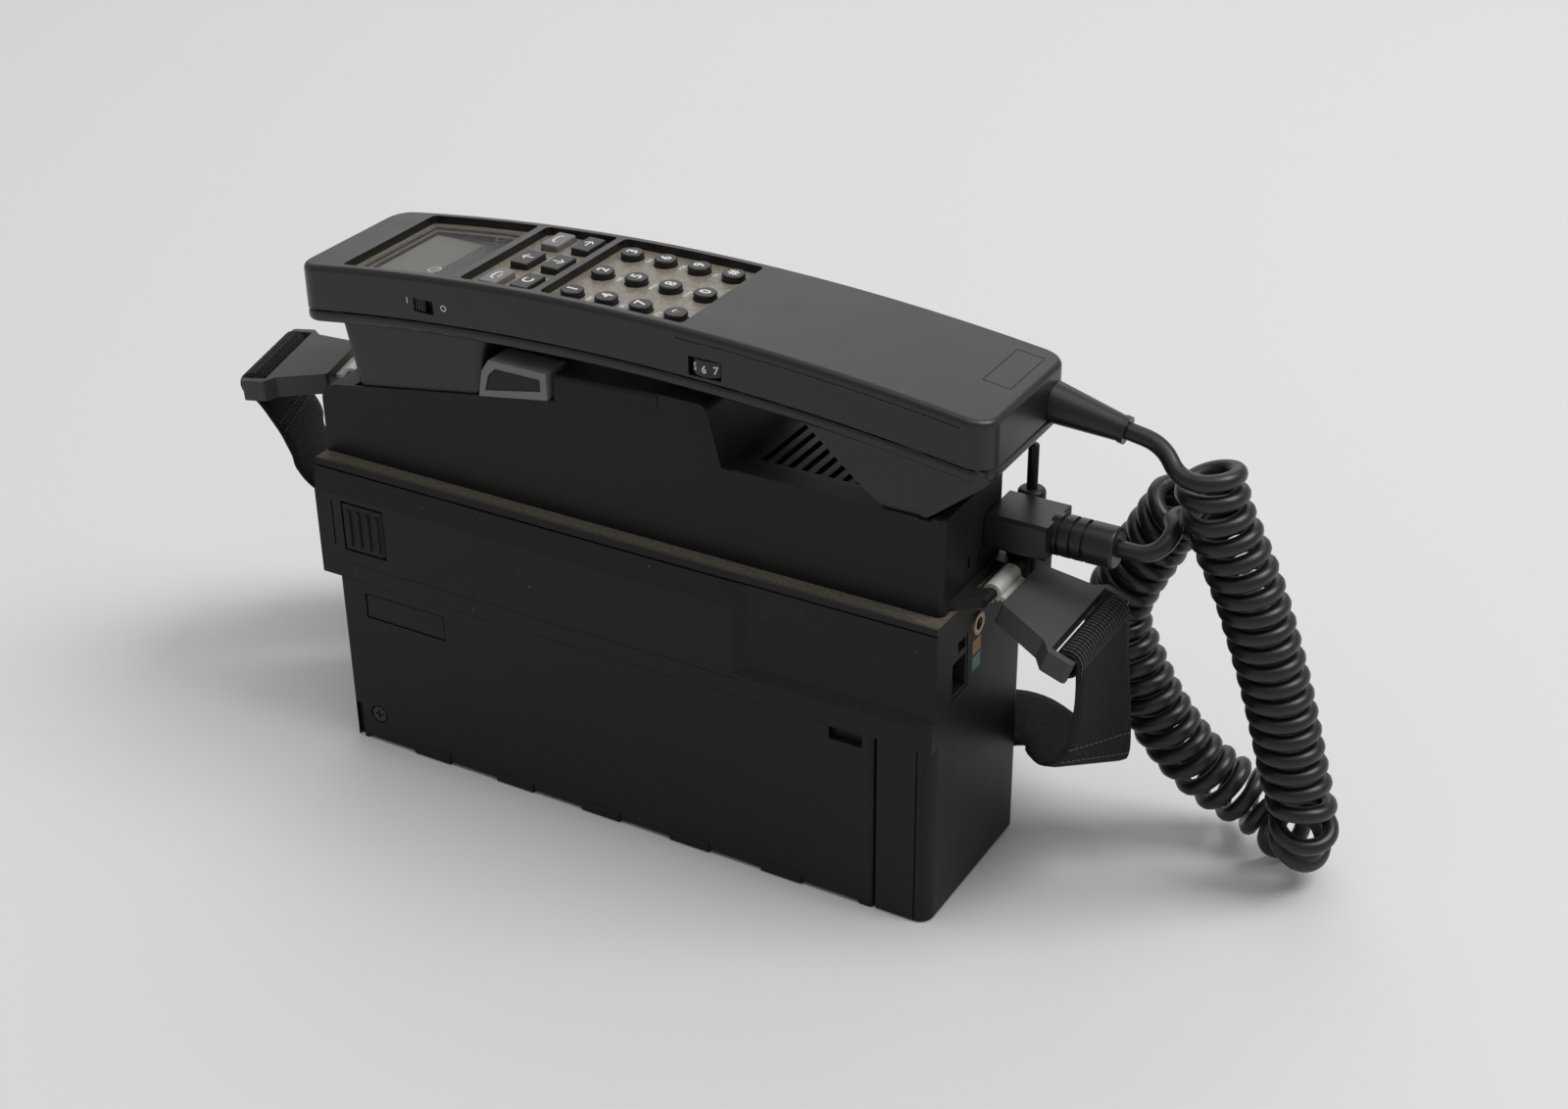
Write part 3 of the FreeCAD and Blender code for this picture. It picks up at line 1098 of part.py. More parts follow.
def hump_sides(inset):
    """The front and back of the humps."""
    half = HANDSET_WIDTH / 2 - HUMP_INSET - inset
    return HANDSET_Y - half, HANDSET_Y + half


def mouth_hump_outline(inset, top):
    """The mouthpiece hump's side outline as (x, z) pairs."""
    bottom = MOUTH_HUMP_BOTTOM + inset
    right = HALF_HANDSET - 1.2 - inset
    lip = LIP_BOTTOM - drop(right)
    return [
        (MOUTH_HUMP_LEFT + inset * 1.4, top),
        (MOUTH_FLAT_LEFT - 6.5 + inset * 0.8, bottom + 4.6),
        (MOUTH_FLAT_LEFT + inset * 0.3, bottom),
        (MOUTH_FLAT_RIGHT - inset * 0.3, bottom),
        (right, lip + inset * 0.6),
        (right, top),
    ]


RELIEF_BORE = RELIEF_BASE_DIAMETER / 2 - 1.0
PLUG_FACE = CRADLE_RIGHT + 0.2


def relief_axis():
    """Where the handset's strain relief leaves the end face, and which way it points."""
    start = V(HALF_HANDSET, RELIEF_Y, RELIEF_Z)
    tip = V(HALF_HANDSET + RELIEF_LENGTH, RELIEF_Y, RELIEF_Z - RELIEF_DROP)
    return start, (tip - start).normalize()


def handset_lower_shell():
    """The back half of the handset: lip, two humps, bosses and the latch slot."""
    lip = handset_bar(0.0, PARTING - PART_LINE, LIP_BOTTOM)
    lip = rounded(lip, 1.6, lambda e: not upright(e) and e.BoundBox.ZMax < LIP_BOTTOM + 0.01
                  and e.BoundBox.YLength + e.BoundBox.XLength > 3)
    y0, y1 = hump_sides(0.0)
    ear = side_prism(ear_hump_outline(0.0, 0.0), y0, y1)
    ear = rounded(ear, 3.0, lambda e: not runs_along(e, BACK) and e.BoundBox.ZLength > 10)
    mouth = side_prism(mouth_hump_outline(0.0, LIP_BOTTOM - 1), y0, y1)
    mouth = rounded(mouth, 3.0, lambda e: runs_along(e, BACK) and e.Vertexes[0].Z < MOUTH_HUMP_BOTTOM + 6)
    shell = joined([lip, ear, mouth])
    cavity = handset_bar(HANDSET_WALL, PARTING + 1, LIP_BOTTOM + HANDSET_WALL)
    y0, y1 = hump_sides(HANDSET_WALL)
    ear_hollow = side_prism(ear_hump_outline(-HANDSET_WALL, -HANDSET_WALL), y0, y1)
    mouth_hollow = side_prism(mouth_hump_outline(HANDSET_WALL, LIP_BOTTOM + 1), y0, y1)
    half = HANDSET_WIDTH / 2 + 1
    above = arched(-HALF_HANDSET - 1, HALF_HANDSET + 1, HANDSET_Y - half, HANDSET_Y + half,
                   PARTING + 20, PARTING - PART_LINE)
    hollows = [cavity, ear_hollow, mouth_hollow, above]
    cuts = []
    middle = (BUTTON_LEFT + BUTTON_RIGHT) / 2
    half = LATCH_HOOK_WIDTH / 2 + 0.8
    cuts.append(block(middle - half, middle + half, HANDSET_Y - LATCH_HOOK_THICKNESS - 1.0,
                      HANDSET_Y + BUTTON_TRAVEL + 1.2, LIP_BOTTOM - 6, LIP_BOTTOM + 3))
    start, way = relief_axis()
    cuts.append(rod(start - way * 6, way, RELIEF_BORE + 0.05, 8))
    bosses = []
    for x, y in SCREW_PLACES:
        floor_z = LIP_BOTTOM - drop(x)
        bosses.append(rod(V(x, y, floor_z + 0.8), UP, BOSS_RADIUS, LIP_DEPTH - 0.9))
        cuts.append(rod(V(x, y, floor_z - 1), UP, SCREW_RADIUS + 0.05, LIP_DEPTH + 3))
        cuts.append(rod(V(x, y, floor_z - 1), UP, 2.3, 2.2))
    for x in (-88.0, 38.0):
        for y in (HANDSET_Y - 15, HANDSET_Y + 15):
            floor_z = LIP_BOTTOM - drop(x)
            if EAR_HUMP_LEFT < x < EAR_HUMP_RIGHT:
                floor_z = EAR_HUMP_BOTTOM + HANDSET_WALL
            bosses.append(rod(V(x, y, floor_z - 0.5), UP, 2.2,
                              BOARD_TOP - BOARD_THICKNESS - floor_z + 0.4))
    return joined([shell.cut(hollows)] + bosses).cut(cuts)


def display_window():
    """The clear window over the display."""
    half = PANEL_WIDTH / 2 - WINDOW_MARGIN - 0.1
    x0, x1 = DISPLAY_PANEL[0] + WINDOW_MARGIN + 0.1, DISPLAY_PANEL[1] - 1.1
    seat = PANEL_FLOOR - WINDOW_THICKNESS + WINDOW_SINK
    return arched(x0, x1, HANDSET_Y - half, HANDSET_Y + half, seat + WINDOW_THICKNESS, seat + 0.02)


def display_module():
    """The flat display on the circuit board."""
    half = PANEL_WIDTH / 2 - WINDOW_MARGIN - WINDOW_LEDGE - 2
    x0 = DISPLAY_PANEL[0] + WINDOW_MARGIN + WINDOW_LEDGE + 1.5
    x1 = DISPLAY_PANEL[1] - 6
    seat = PANEL_FLOOR - WINDOW_THICKNESS + WINDOW_SINK
    top = seat - drop(x0) - 0.3
    return block(x0, x1, HANDSET_Y - half, HANDSET_Y + half, BOARD_TOP, top)


MAT_TOP = FACE_INNER - FLANGE_GAP - FLANGE_THICKNESS - KEY_TRAVEL - 0.35


def keypad_mat():
    """The rubber mat whose domes return the keys: arched on top, flat on the board."""
    half = PANEL_WIDTH / 2 - 1
    x0, x1 = FUNCTION_PANEL[0] + 1, NUMBER_PANEL[1] - 2
    slab = arched(x0, x1, HANDSET_Y - half, HANDSET_Y + half, MAT_TOP, MAT_TOP - 30)
    below = block(x0 - 5, x1 + 5, HANDSET_Y - half - 5, HANDSET_Y + half + 5, MAT_TOP - 50, BOARD_TOP)
    return slab.cut(below)


def handset_board():
    """The handset's circuit board."""
    half = HANDSET_WIDTH / 2 - HANDSET_WALL - 1.2
    board = block(-96.0, 42.0, HANDSET_Y - half, HANDSET_Y + half, BOARD_TOP - BOARD_THICKNESS,
                  BOARD_TOP)
    reach = WHEEL_DIAMETER / 2 + 1
    bay = rod(V(WHEEL_X, wheel_centre_y(), BOARD_TOP - 5), UP, reach, 8)
    slide_bay = block(SWITCH_X - 6, SWITCH_X + 6, HANDSET_Y - half - 1, HANDSET_Y - half + 4,
                      BOARD_TOP - 5, BOARD_TOP + 1)
    return board.cut([bay, slide_bay])


def sound_capsules():
    """The earphone in the left hump and the microphone in the right one."""
    ear_x = (EAR_HUMP_LEFT + EAR_HUMP_RIGHT) / 2
    ear = rod(V(ear_x, HANDSET_Y, EAR_HUMP_BOTTOM + HANDSET_WALL), UP, 16.0, 8.0)
    ear_rear = rod(V(ear_x, HANDSET_Y, EAR_HUMP_BOTTOM + HANDSET_WALL + 7.9), UP, 9.0, 4.0)
    mouth_x = (MOUTH_FLAT_LEFT + MOUTH_FLAT_RIGHT) / 2
    mouth = rod(V(mouth_x, HANDSET_Y, MOUTH_HUMP_BOTTOM + HANDSET_WALL), UP, 5.0, 6.0)
    return Part.makeCompound([joined([ear, ear_rear]), mouth])


def power_slider():
    """The on-off slide in the handset's side."""
    front = handset_front()
    height = SWITCH_HEIGHT / 2 - 0.2
    x0 = SWITCH_X - SWITCH_LENGTH / 2 + 0.25
    knob = block(x0, x0 + SLIDER_LENGTH, front + 0.5, front + HANDSET_WALL + 0.4,
                 SWITCH_Z - height, SWITCH_Z + height)
    grips = [block(x0 + 0.7 + i * 1.1, x0 + 1.1 + i * 1.1, front + 0.4, front + 0.8,
                   SWITCH_Z - height - 0.1, SWITCH_Z + height + 0.1) for i in range(3)]
    plate = block(SWITCH_X - 5.2, SWITCH_X + 2.0, front + HANDSET_WALL + 0.3,
                  front + HANDSET_WALL + 1.6, SWITCH_Z - 2.4, SWITCH_Z + 2.4)
    return joined([knob.cut(grips), plate])


def volume_wheel():
    """The thumb wheel on its upright axle."""
    low = V(WHEEL_X, wheel_centre_y(), WHEEL_Z - WHEEL_THICKNESS / 2)
    wheel = rod(low, UP, WHEEL_DIAMETER / 2, WHEEL_THICKNESS)
    wheel = rounded(wheel, 0.4, lambda e: e.BoundBox.XLength > WHEEL_DIAMETER - 0.1
                    and e.Curve.TypeId == "Part::GeomCircle")
    return wheel.cut(rod(low - UP, UP, WHEEL_AXLE + RUNNING_CLEARANCE, WHEEL_THICKNESS + 2))


def handset_screws():
    """The four screws that hold the handset's halves together."""
    screws = []
    for x, y in SCREW_PLACES:
        base = LIP_BOTTOM - drop(x) + 1.15
        head = rod(V(x, y, base - 1.6), UP, 2.2, 1.6)
        shank = rod(V(x, y, base), UP, SCREW_RADIUS, LIP_DEPTH + 4.5)
        screws.append(joined([head, shank]))
    return Part.makeCompound(screws)


def handset_strain_relief():
    """The tapered sleeve where the cord leaves the handset."""
    start, way = relief_axis()
    root = start + way * 0.2
    buried = way * 1.5
    sleeve = Part.makeCone(RELIEF_BASE_DIAMETER / 2, RELIEF_TIP_DIAMETER / 2, RELIEF_LENGTH + 1.5,
                           root - buried, way)
    reach = RELIEF_BASE_DIAMETER
    inside = block(start.x - 8, start.x + 0.05, start.y - reach, start.y + reach,
                   start.z - reach, start.z + reach)
    sleeve = sleeve.cut(inside)
    neck = rod(root - way * 5.5, way, RELIEF_BORE, 6)
    tip_lip = rod(root + way * (RELIEF_LENGTH - 1.6), way, RELIEF_TIP_DIAMETER / 2 + 0.5, 1.6)
    return joined([sleeve, neck, tip_lip])


# Curly cord

def plug_tip():
    """Where the cord leaves the plug's sleeve."""
    return V(PLUG_FACE + PLUG_LENGTH + PLUG_RELIEF_LENGTH, PLUG_Y, PLUG_Z)


def cord_plug():
    """The plug: flat body, nose in the cradle's socket and a ribbed sleeve."""
    half_y, half_z = PLUG_WIDTH / 2, PLUG_HEIGHT / 2
    body = block(PLUG_FACE, PLUG_FACE + PLUG_LENGTH, PLUG_Y - half_y, PLUG_Y + half_y,
                 PLUG_Z - half_z, PLUG_Z + half_z)
    body = rounded(body, 1.4, lambda e: runs_along(e, OUT))
    nose = plug_nose(PLUG_FACE - PLUG_NOSE, PLUG_FACE + 1, 0.0)
    sleeve_x = PLUG_FACE + PLUG_LENGTH
    sleeve = rod(V(sleeve_x - 1, PLUG_Y, PLUG_Z), OUT, PLUG_RELIEF_DIAMETER / 2,
                 PLUG_RELIEF_LENGTH + 1)
    sleeve = rounded(sleeve, 1.2, lambda e: e.BoundBox.XMin > sleeve_x + PLUG_RELIEF_LENGTH - 0.01)
    grooves = []
    for i in range(3):
        x = sleeve_x + 1.5 + i * 3.6
        ring = rod(V(x, PLUG_Y, PLUG_Z), OUT, PLUG_RELIEF_DIAMETER, 1.1)
        grooves.append(ring.cut(rod(V(x - 1, PLUG_Y, PLUG_Z), OUT, PLUG_RELIEF_DIAMETER / 2 - 0.9, 4)))
    return joined([body, nose, sleeve.cut(grooves)])


class Route:
    """A line of straight runs and tangent arcs through hand-chosen points, measured by length."""

    def __init__(self, points):
        self.pieces = []
        self.radii = []
        start = points[0]
        for before, corner, after in zip(points, points[1:], points[2:]):
            way_in = (corner - before)
            way_out = (after - corner)
            shorter = min(way_in.Length, way_out.Length)
            way_in, way_out = V(way_in).normalize(), V(way_out).normalize()
            half_turn = way_in.getAngle(way_out) / 2
            reach = 0.45 * shorter
            radius = reach / math.tan(half_turn)
            self.radii.append(radius)
            entry = corner - way_in * reach
            self.add_line(start, entry)
            normal = way_in.cross(way_out).normalize()
            self.pieces.append(("arc", radius * 2 * half_turn, entry, way_in, normal, radius))
            start = corner + way_out * reach
        self.add_line(start, points[-1])
        self.length = sum(p[1] for p in self.pieces)

    def add_line(self, a, b):
        """A straight stretch, if it has any length."""
        span = b - a
        if span.Length > 1e-6:
            self.pieces.append(("line", span.Length, a, V(span).normalize(), None, None))

    def frames(self, lengths, side):
        """The point, direction, side vector and bend at each length, with no twist."""
        out = []
        piece_start = 0.0
        index = 0
        side = V(side)
        kind, span, a, way, axis, radius = self.pieces[0]
        side = (side - way * side.dot(way)).normalize()
        for s in lengths:
            while s > piece_start + span and index < len(self.pieces) - 1:
                if kind == "arc":
                    turn = FreeCAD.Rotation(axis, math.degrees(span / radius))
                    side = turn.multVec(side)
                piece_start += span
                index += 1
                kind, span, a, way, axis, radius = self.pieces[index]
            along = s - piece_start
            if kind == "line":
                out.append((a + way * along, V(way), V(side), 0.0))
            else:
                turn = FreeCAD.Rotation(axis, math.degrees(along / radius))
                centre = a + axis.cross(way) * radius
                point = centre + turn.multVec(a - centre)
                out.append((point, turn.multVec(way), turn.multVec(side), 1.0 / radius))
        return out


def arc_edge(start, way, end):
    """An arc that leaves start along way and ends at end, or a line where it is straight."""
    chord = end - start
    sideways = chord - way * chord.dot(way)
    if sideways.Length < 1e-5:
        return Part.LineSegment(start, end).toShape()
    normal = V(sideways).normalize()
    radius = chord.Length ** 2 / (2 * sideways.Length)
    centre = start + normal * radius
    middle = (start + end) / 2
    bulge = V(middle - centre)
    if bulge.Length < 1e-6:
        bulge = way
    return Part.Arc(start, centre + bulge.normalize() * radius, end).toShape()


def biarc(p0, t0, p1, t1):
    """Two arcs that leave p0 along t0, meet smoothly and arrive at p1 along t1."""
    chord = p1 - p0
    both = t0 + t1
    a = 2 * (1 - t0.dot(t1))
    b = chord.dot(both)
    if a < 1e-9:
        reach = chord.dot(chord) / (2 * b)
    else:
        reach = (-b + math.sqrt(b * b + a * chord.dot(chord))) / a
    meet = (p0 + t0 * reach + p1 - t1 * reach) / 2
    way = (meet - p0 - t0 * reach).normalize()
    return [arc_edge(p0, t0, meet), arc_edge(meet, way, p1)]


def curl_stations(route, start_side, turns_per_station):
    """Points and directions along the curls, a fixed share of a turn apart, handset end first."""
    radius = CURL_DIAMETER / 2
    step = 0.25
    count = int(route.length / step)
    lengths = [route.length * i / count for i in range(count + 1)]
    frames = route.frames(lengths, start_side)
    turn = [0.0]
    for i in range(1, len(frames)):
        bend = min(frames[i][3], 0.9 / radius)
        open_pitch = (WIRE_DIAMETER + CURL_GAP) / (1 - radius * bend)
        pitch = max(CURL_PITCH, open_pitch)
        turn.append(turn[-1] + (lengths[i] - lengths[i - 1]) / pitch)
    total = CURL_COUNT
    scale = total / turn[-1]
    turn = [t * scale for t in turn]

    def at(t):
        low, high = 0, len(turn) - 1
        while high - low > 1:
            middle = (low + high) // 2
            if turn[middle] <= t:
                low = middle
            else:
                high = middle
        share = (t - turn[low]) / (turn[high] - turn[low])
        point = frames[low][0] + (frames[high][0] - frames[low][0]) * share
        way = V(frames[low][1] + (frames[high][1] - frames[low][1]) * share).normalize()
        side = V(frames[low][2] + (frames[high][2] - frames[low][2]) * share)
        side = (side - way * side.dot(way)).normalize()
        angle = -2 * math.pi * t
        return point + (side * math.cos(angle) + way.cross(side) * math.sin(angle)) * radius

    stations = []
    number = round(total / turns_per_station)
    small = 1e-3
    for i in range(number + 1):
        t = i * turns_per_station
        before, after = at(max(t - small, 0)), at(min(t + small, total - 1e-9))
        stations.append((at(min(t, total - 1e-9)), V(after - before).normalize()))
    return stations


def least_gap(points, lengths, apart, thickness):
    """The smallest gap between stretches of the wire that are some way apart along it."""
    cell = 8.0
    grid = {}
    for i, p in enumerate(points):
        grid.setdefault((int(p.x // cell), int(p.y // cell), int(p.z // cell)), []).append(i)
    best = 1e9
    for (cx, cy, cz), members in grid.items():
        near = []
        for dx in (-1, 0, 1):
            for dy in (-1, 0, 1):
                for dz in (-1, 0, 1):
                    near += grid.get((cx + dx, cy + dy, cz + dz), [])
        for i in members:
            for j in near:
                if lengths[j] > lengths[i] + apart:
                    best = min(best, (points[i] - points[j]).Length)
    return best - thickness


def cord_edges():
    """The cord's whole centre line: straight end, curls and straight end at the plug."""
    route = Route(COIL_AXIS)
    print("coil axis radii:", [round(r) for r in route.radii])
    stations = curl_stations(route, V(0, -1, 0), CURL_SHARE)
    start, way = relief_axis()
    exit_point = start + way * (RELIEF_LENGTH + 0.2)
    leave = exit_point + way * WIRE_DIAMETER
    edges = [Part.LineSegment(exit_point, leave).toShape()]
    edges += biarc(leave, way, *stations[0])
    for here, there in zip(stations, stations[1:]):
        edges += biarc(here[0], here[1], there[0], there[1])
    tip = plug_tip()
    arrive = tip + OUT * WIRE_DIAMETER
    last_point, last_way = stations[-1]
    edges += biarc(last_point, last_way, LEAD_MIDDLE, LEAD_WAY)
    edges += biarc(LEAD_MIDDLE, LEAD_WAY, arrive, -OUT)
    edges.append(Part.LineSegment(arrive, tip).toShape())
    return edges


def curly_cord():
    """The cord as one unbroken tube."""
    edges = cord_edges()
    path = Part.Wire(edges)
    start = edges[0].Vertexes[0].Point
    way = V(edges[0].Vertexes[1].Point - start).normalize()
    circle = Part.Wire([Part.Circle(start, way, WIRE_DIAMETER / 2).toShape()])
    tube = path.makePipeShell([circle], True, False)
    points, lengths, reached = [], [], 0.0
    for edge in edges:
        steps = max(2, math.ceil(edge.Length))
        points += edge.discretize(steps + 1)[:-1]
        lengths += [reached + edge.Length * i / steps for i in range(steps)]
        reached += edge.Length
    gap = least_gap(points, lengths, 2.6 * WIRE_DIAMETER, WIRE_DIAMETER)
    area = math.pi * (WIRE_DIAMETER / 2) ** 2
    print(f"cord: {CURL_COUNT} curls, wire {path.Length:.0f} mm, least gap {gap:.2f} mm,",
          f"volume over section times length {tube.Volume / (area * path.Length):.4f}")
    return tube


# Shoulder strap

def clip_place(end):
    """The placement that carries a clip drawn along +X from the origin to its pivot."""
    pivot, droop, yaw = end
    turn = FreeCAD.Rotation(UP, yaw)
    if pivot.x > 0:
        return FreeCAD.Placement(pivot, turn.multiply(FreeCAD.Rotation(BACK, droop)))
    mirror = FreeCAD.Placement(V(0, 0, 0), FreeCAD.Rotation(UP, 180))
    return FreeCAD.Placement(pivot, turn.multiply(FreeCAD.Rotation(BACK, -droop))).multiply(mirror)


def placed(shape, end):
    """A copy of a shape moved to its clip's place."""
    copy = shape.copy()
    copy.Placement = clip_place(end).multiply(copy.Placement)
    return copy


def clip(end):
    """The moulded clip: a plate that widens to a frame with a bar for the webbing."""
    narrow, wide = CLIP_NARROW / 2, CLIP_WIDE / 2
    half = CLIP_THICKNESS / 2
    tip = CLIP_BAR + CLIP_BAR_RADIUS
    shoulder = narrow + (wide - narrow) * 0.55
    outline = [V(CLIP_START, -narrow, -half), V(CLIP_PLATE_END - 3, -shoulder, -half),
               V(CLIP_PLATE_END, -wide, -half), V(tip, -wide, -half), V(tip, wide, -half),
               V(CLIP_PLATE_END, wide, -half), V(CLIP_PLATE_END - 3, shoulder, -half),
               V(CLIP_START, narrow, -half)]
    body = prism(outline, V(0, 0, CLIP_THICKNESS))
    body = rounded(body, 1.2, lambda e: upright(e))
    inner = WEBBING_WIDTH / 2 + 0.7
    window = block(CLIP_PLATE_END, tip + 1, -inner, inner, -half - 1, half + 1)
    under = block(CLIP_START + 1.6, CLIP_PLATE_END - 2, -narrow + 2, narrow - 2, -half - 1,
                  half - 2.4)
    keep = block(CLIP_START, CLIP_START + HOOK_TAIL, -HOOK_WIDTH / 2 - 1.5, HOOK_WIDTH / 2 + 1.5,
                 -HOOK_THICKNESS / 2 - 1.2, half - 1)
    slot = block(CLIP_START - 1, CLIP_START + HOOK_TAIL - 1.5, -HOOK_WIDTH / 2 - 0.05,
                 HOOK_WIDTH / 2 + 0.05, -HOOK_THICKNESS / 2 - 0.02, HOOK_THICKNESS / 2 + 0.02)
    bar = rod(V(CLIP_BAR, -inner - 1, 0), BACK, CLIP_BAR_RADIUS, 2 * inner + 2)
    shape = joined([joined([body.cut([window, under]), keep]).cut(slot), bar])
    return placed(shape, end)


def hook(end):
    """The sheet metal hook: a curl round the lug's bar and a tail in the clip."""
    inner = LUG_THICKNESS / 2 + RUNNING_CLEARANCE
    outer = inner + HOOK_THICKNESS
    half = HOOK_WIDTH / 2
    ring = rod(V(0, -half, 0), BACK, outer, HOOK_WIDTH)
    tail = block(inner + 0.4, CLIP_START + HOOK_TAIL - 1.6, -half, half,
                 -HOOK_THICKNESS / 2, HOOK_THICKNESS / 2)
    bore = rod(V(0, -half - 1, 0), BACK, inner, HOOK_WIDTH + 2)
    mouth = prism([V(inner * 0.7, -half - 1, -0.9), V(inner * 0.7, half + 1, -0.9),
                   V(outer + 1, half + 1, -2.2), V(outer + 1, -half - 1, -2.2)], V(0, 0, -1.2))
    return placed(joined([ring, tail]).cut([bore, mouth]), end)


def ribbon(pairs, thickness):
    """Webbing through pairs of points on its two edges."""
    wires = []
    for i, (a, b) in enumerate(pairs):
        before = pairs[max(i - 1, 0)]
        after = pairs[min(i + 1, len(pairs) - 1)]
        way = after[0] + after[1] - before[0] - before[1]
        half = V(way.cross(b - a)).normalize() * (thickness / 2)
        corners = [a - half, b - half, b + half, a + half]
        wires.append(Part.makePolygon(corners + [corners[0]]))
    return Part.makeLoft(wires, True, True)


def curve_point(p, t):
    """A point between p[1] and p[2] on a smooth curve through four points."""
    return (p[1] * 2 + (p[2] - p[0]) * t + (p[0] * 2 - p[1] * 5 + p[2] * 4 - p[3]) * t ** 2
            + (p[1] * 3 - p[0] - p[2] * 3 + p[3]) * t ** 3) * 0.5


def smooth(pairs, steps):
    """More pairs along smooth curves through the given ones."""
    out = []
    last = len(pairs) - 1
    for i in range(last):
        near = [pairs[max(min(k, last), 0)] for k in (i - 1, i, i + 1, i + 2)]
        for j in range(steps):
            out.append(tuple(curve_point([pair[side] for pair in near], j / steps)
                             for side in (0, 1)))
    out.append(pairs[-1])
    return out


def bar_centre(end):
    """The middle of a clip's webbing bar."""
    return clip_place(end).multVec(V(CLIP_BAR, 0, 0))


def strap_loop(end):
    """The turn of webbing round a clip's bar."""
    inner = CLIP_BAR_RADIUS + LOOP_GAP
    half = WEBBING_WIDTH / 2 - LOOP_TRIM
    start = V(CLIP_BAR, -half, 0)
    ring = rod(start, BACK, inner + WEBBING_THICKNESS + LOOP_SWELL, 2 * half)
    return placed(ring.cut(rod(start - BACK, BACK, inner, 2 * half + 2)), end)


def across(x, z):
    """A pair of edge points where the strap lies flat behind the body."""
    front = Y_BACK + STRAP_BEHIND
    return V(x, front, z), V(x, front + WEBBING_WIDTH, z)


def layer_z(number):
    """The middle height of one layer of the folded strap on the floor."""
    return STRAP_LIFT + WEBBING_THICKNESS / 2 + number * STRAP_LAYER


def turn_over(x, number, side):
    """The strap folding up from one layer to the next; side is 1 at a right-hand fold."""
    middle = layer_z(number) + STRAP_LAYER / 2
    radius = STRAP_LAYER / 2
    return [across(x + side * radius * math.sin(a), middle - radius * math.cos(a))
            for a in (math.pi / 4, math.pi / 2, 3 * math.pi / 4)]


def fall(end, start_way, points):
    """The strap's free fall from its clip's bar: pairs given from the bar's middle."""
    centre = bar_centre(end)
    along = FreeCAD.Rotation(UP, end[2]).multVec(BACK) * (WEBBING_WIDTH / 2)
    middle = CLIP_BAR_RADIUS + LOOP_GAP + (WEBBING_THICKNESS + LOOP_SWELL) / 2
    start = centre + start_way * middle
    return [(start - along, start + along)] + [(centre + a, centre + b) for a, b in points]


def webbing_right():
    """The strap from the right clip down behind the body, folded on the floor."""
    down = fall(RIGHT_END, OUT, RIGHT_FALL)
    floor_x = FOLD_RIGHT_X + 8.0
    down += [across(floor_x + 22.0, 9.0), across(floor_x, layer_z(0)), across(floor_x - 18.0, layer_z(0))]
    pairs = smooth(down, 3)
    pairs += [across(FOLD_LEFT_X, layer_z(0))] + turn_over(FOLD_LEFT_X, 0, -1)
    pairs += [across(FOLD_LEFT_X, layer_z(1)), across(FOLD_RIGHT_X, layer_z(1))]
    pairs += turn_over(FOLD_RIGHT_X, 1, 1) + [across(FOLD_RIGHT_X, layer_z(2))]
    pairs += [across(ADJUSTER_X + ADJUSTER_LENGTH, layer_z(2))]
    pairs += [across(ADJUSTER_X + ADJUSTER_LENGTH * 0.6, layer_z(3)),
              across(ADJUSTER_X + 1.0, layer_z(3))]
    return joined([strap_loop(RIGHT_END), ribbon(pairs, WEBBING_THICKNESS)])


def webbing_left():
    """The strap from the left clip down behind the body to the adjuster."""
    down = fall(LEFT_END, -UP, LEFT_FALL)
    floor_x = ADJUSTER_X - ADJUSTER_LENGTH
    down += [across(floor_x - 82.0, 36.0), across(floor_x - 60.0, 22.0), across(floor_x - 34.0, 11.0),
             across(floor_x, layer_z(3))]
    pairs = smooth(down, 3) + [across(ADJUSTER_X - 1.0, layer_z(3))]
    return joined([strap_loop(LEFT_END), ribbon(pairs, WEBBING_THICKNESS)])


def strap_adjuster():
    """The slide where the strap's two lengths meet behind the body."""
    low, high = across(ADJUSTER_X, layer_z(3))
    half = ADJUSTER_LENGTH / 2
    deep = WEBBING_THICKNESS / 2 + 0.3
    rim = ADJUSTER_RIM
    frame = block(low.x - half, low.x + half, low.y - 0.3 - rim, high.y + 0.3 + rim,
                  low.z - deep - 0.8, low.z + deep + 1.2)
    tunnel = block(low.x - half - 1, low.x + half + 1, low.y - 0.3, high.y + 0.3,
                   low.z - deep, low.z + deep)
    return frame.cut(tunnel)


def main():
    """Build and write every piece."""
    makers = [
        battery_case, battery_cover, battery_cells, battery_contacts, rubber_feet, case_screws,
        end_block, radio_housing, radio_base_plate, battery_latch, transceiver_board, shield_cans,
        power_connector, headset_jack, connector_dock, antenna, cradle_housing, deck_grille,
        loudspeaker, release_button, button_insert, latch_wedge, handset_upper_shell,
        handset_lower_shell, display_window, display_module, keypad_mat, handset_board,
        sound_capsules, power_slider, volume_wheel, handset_screws, handset_strain_relief,
        cord_plug, webbing_right, webbing_left, strap_adjuster, curly_cord,
    ]
    for maker in makers:
        save(maker.__name__, maker())
    for name, x, y, is_round in key_places():
        save(name, key(x, y, is_round))
    for side, end in (("left", LEFT_END), ("right", RIGHT_END)):
        save("clip_" + side, clip(end))
        save("hook_" + side, hook(end))


main()
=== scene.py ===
# %% [markdown]
# # A bag phone on its battery
# The real object is a stack: a battery case at the bottom, the radio on top of it, a sloped cradle,
# and a handset that lies in the cradle. A shoulder strap and a curly cord are the only soft things.
# The hard pieces come from the CAD model, so this script gives them their finishes, and then makes
# what CAD is poor at: the cord, the woven strap, the printed symbols and the dust.

# %% Frame and units
import json
import math

import bmesh
import bpy
from mathutils import Matrix, Vector


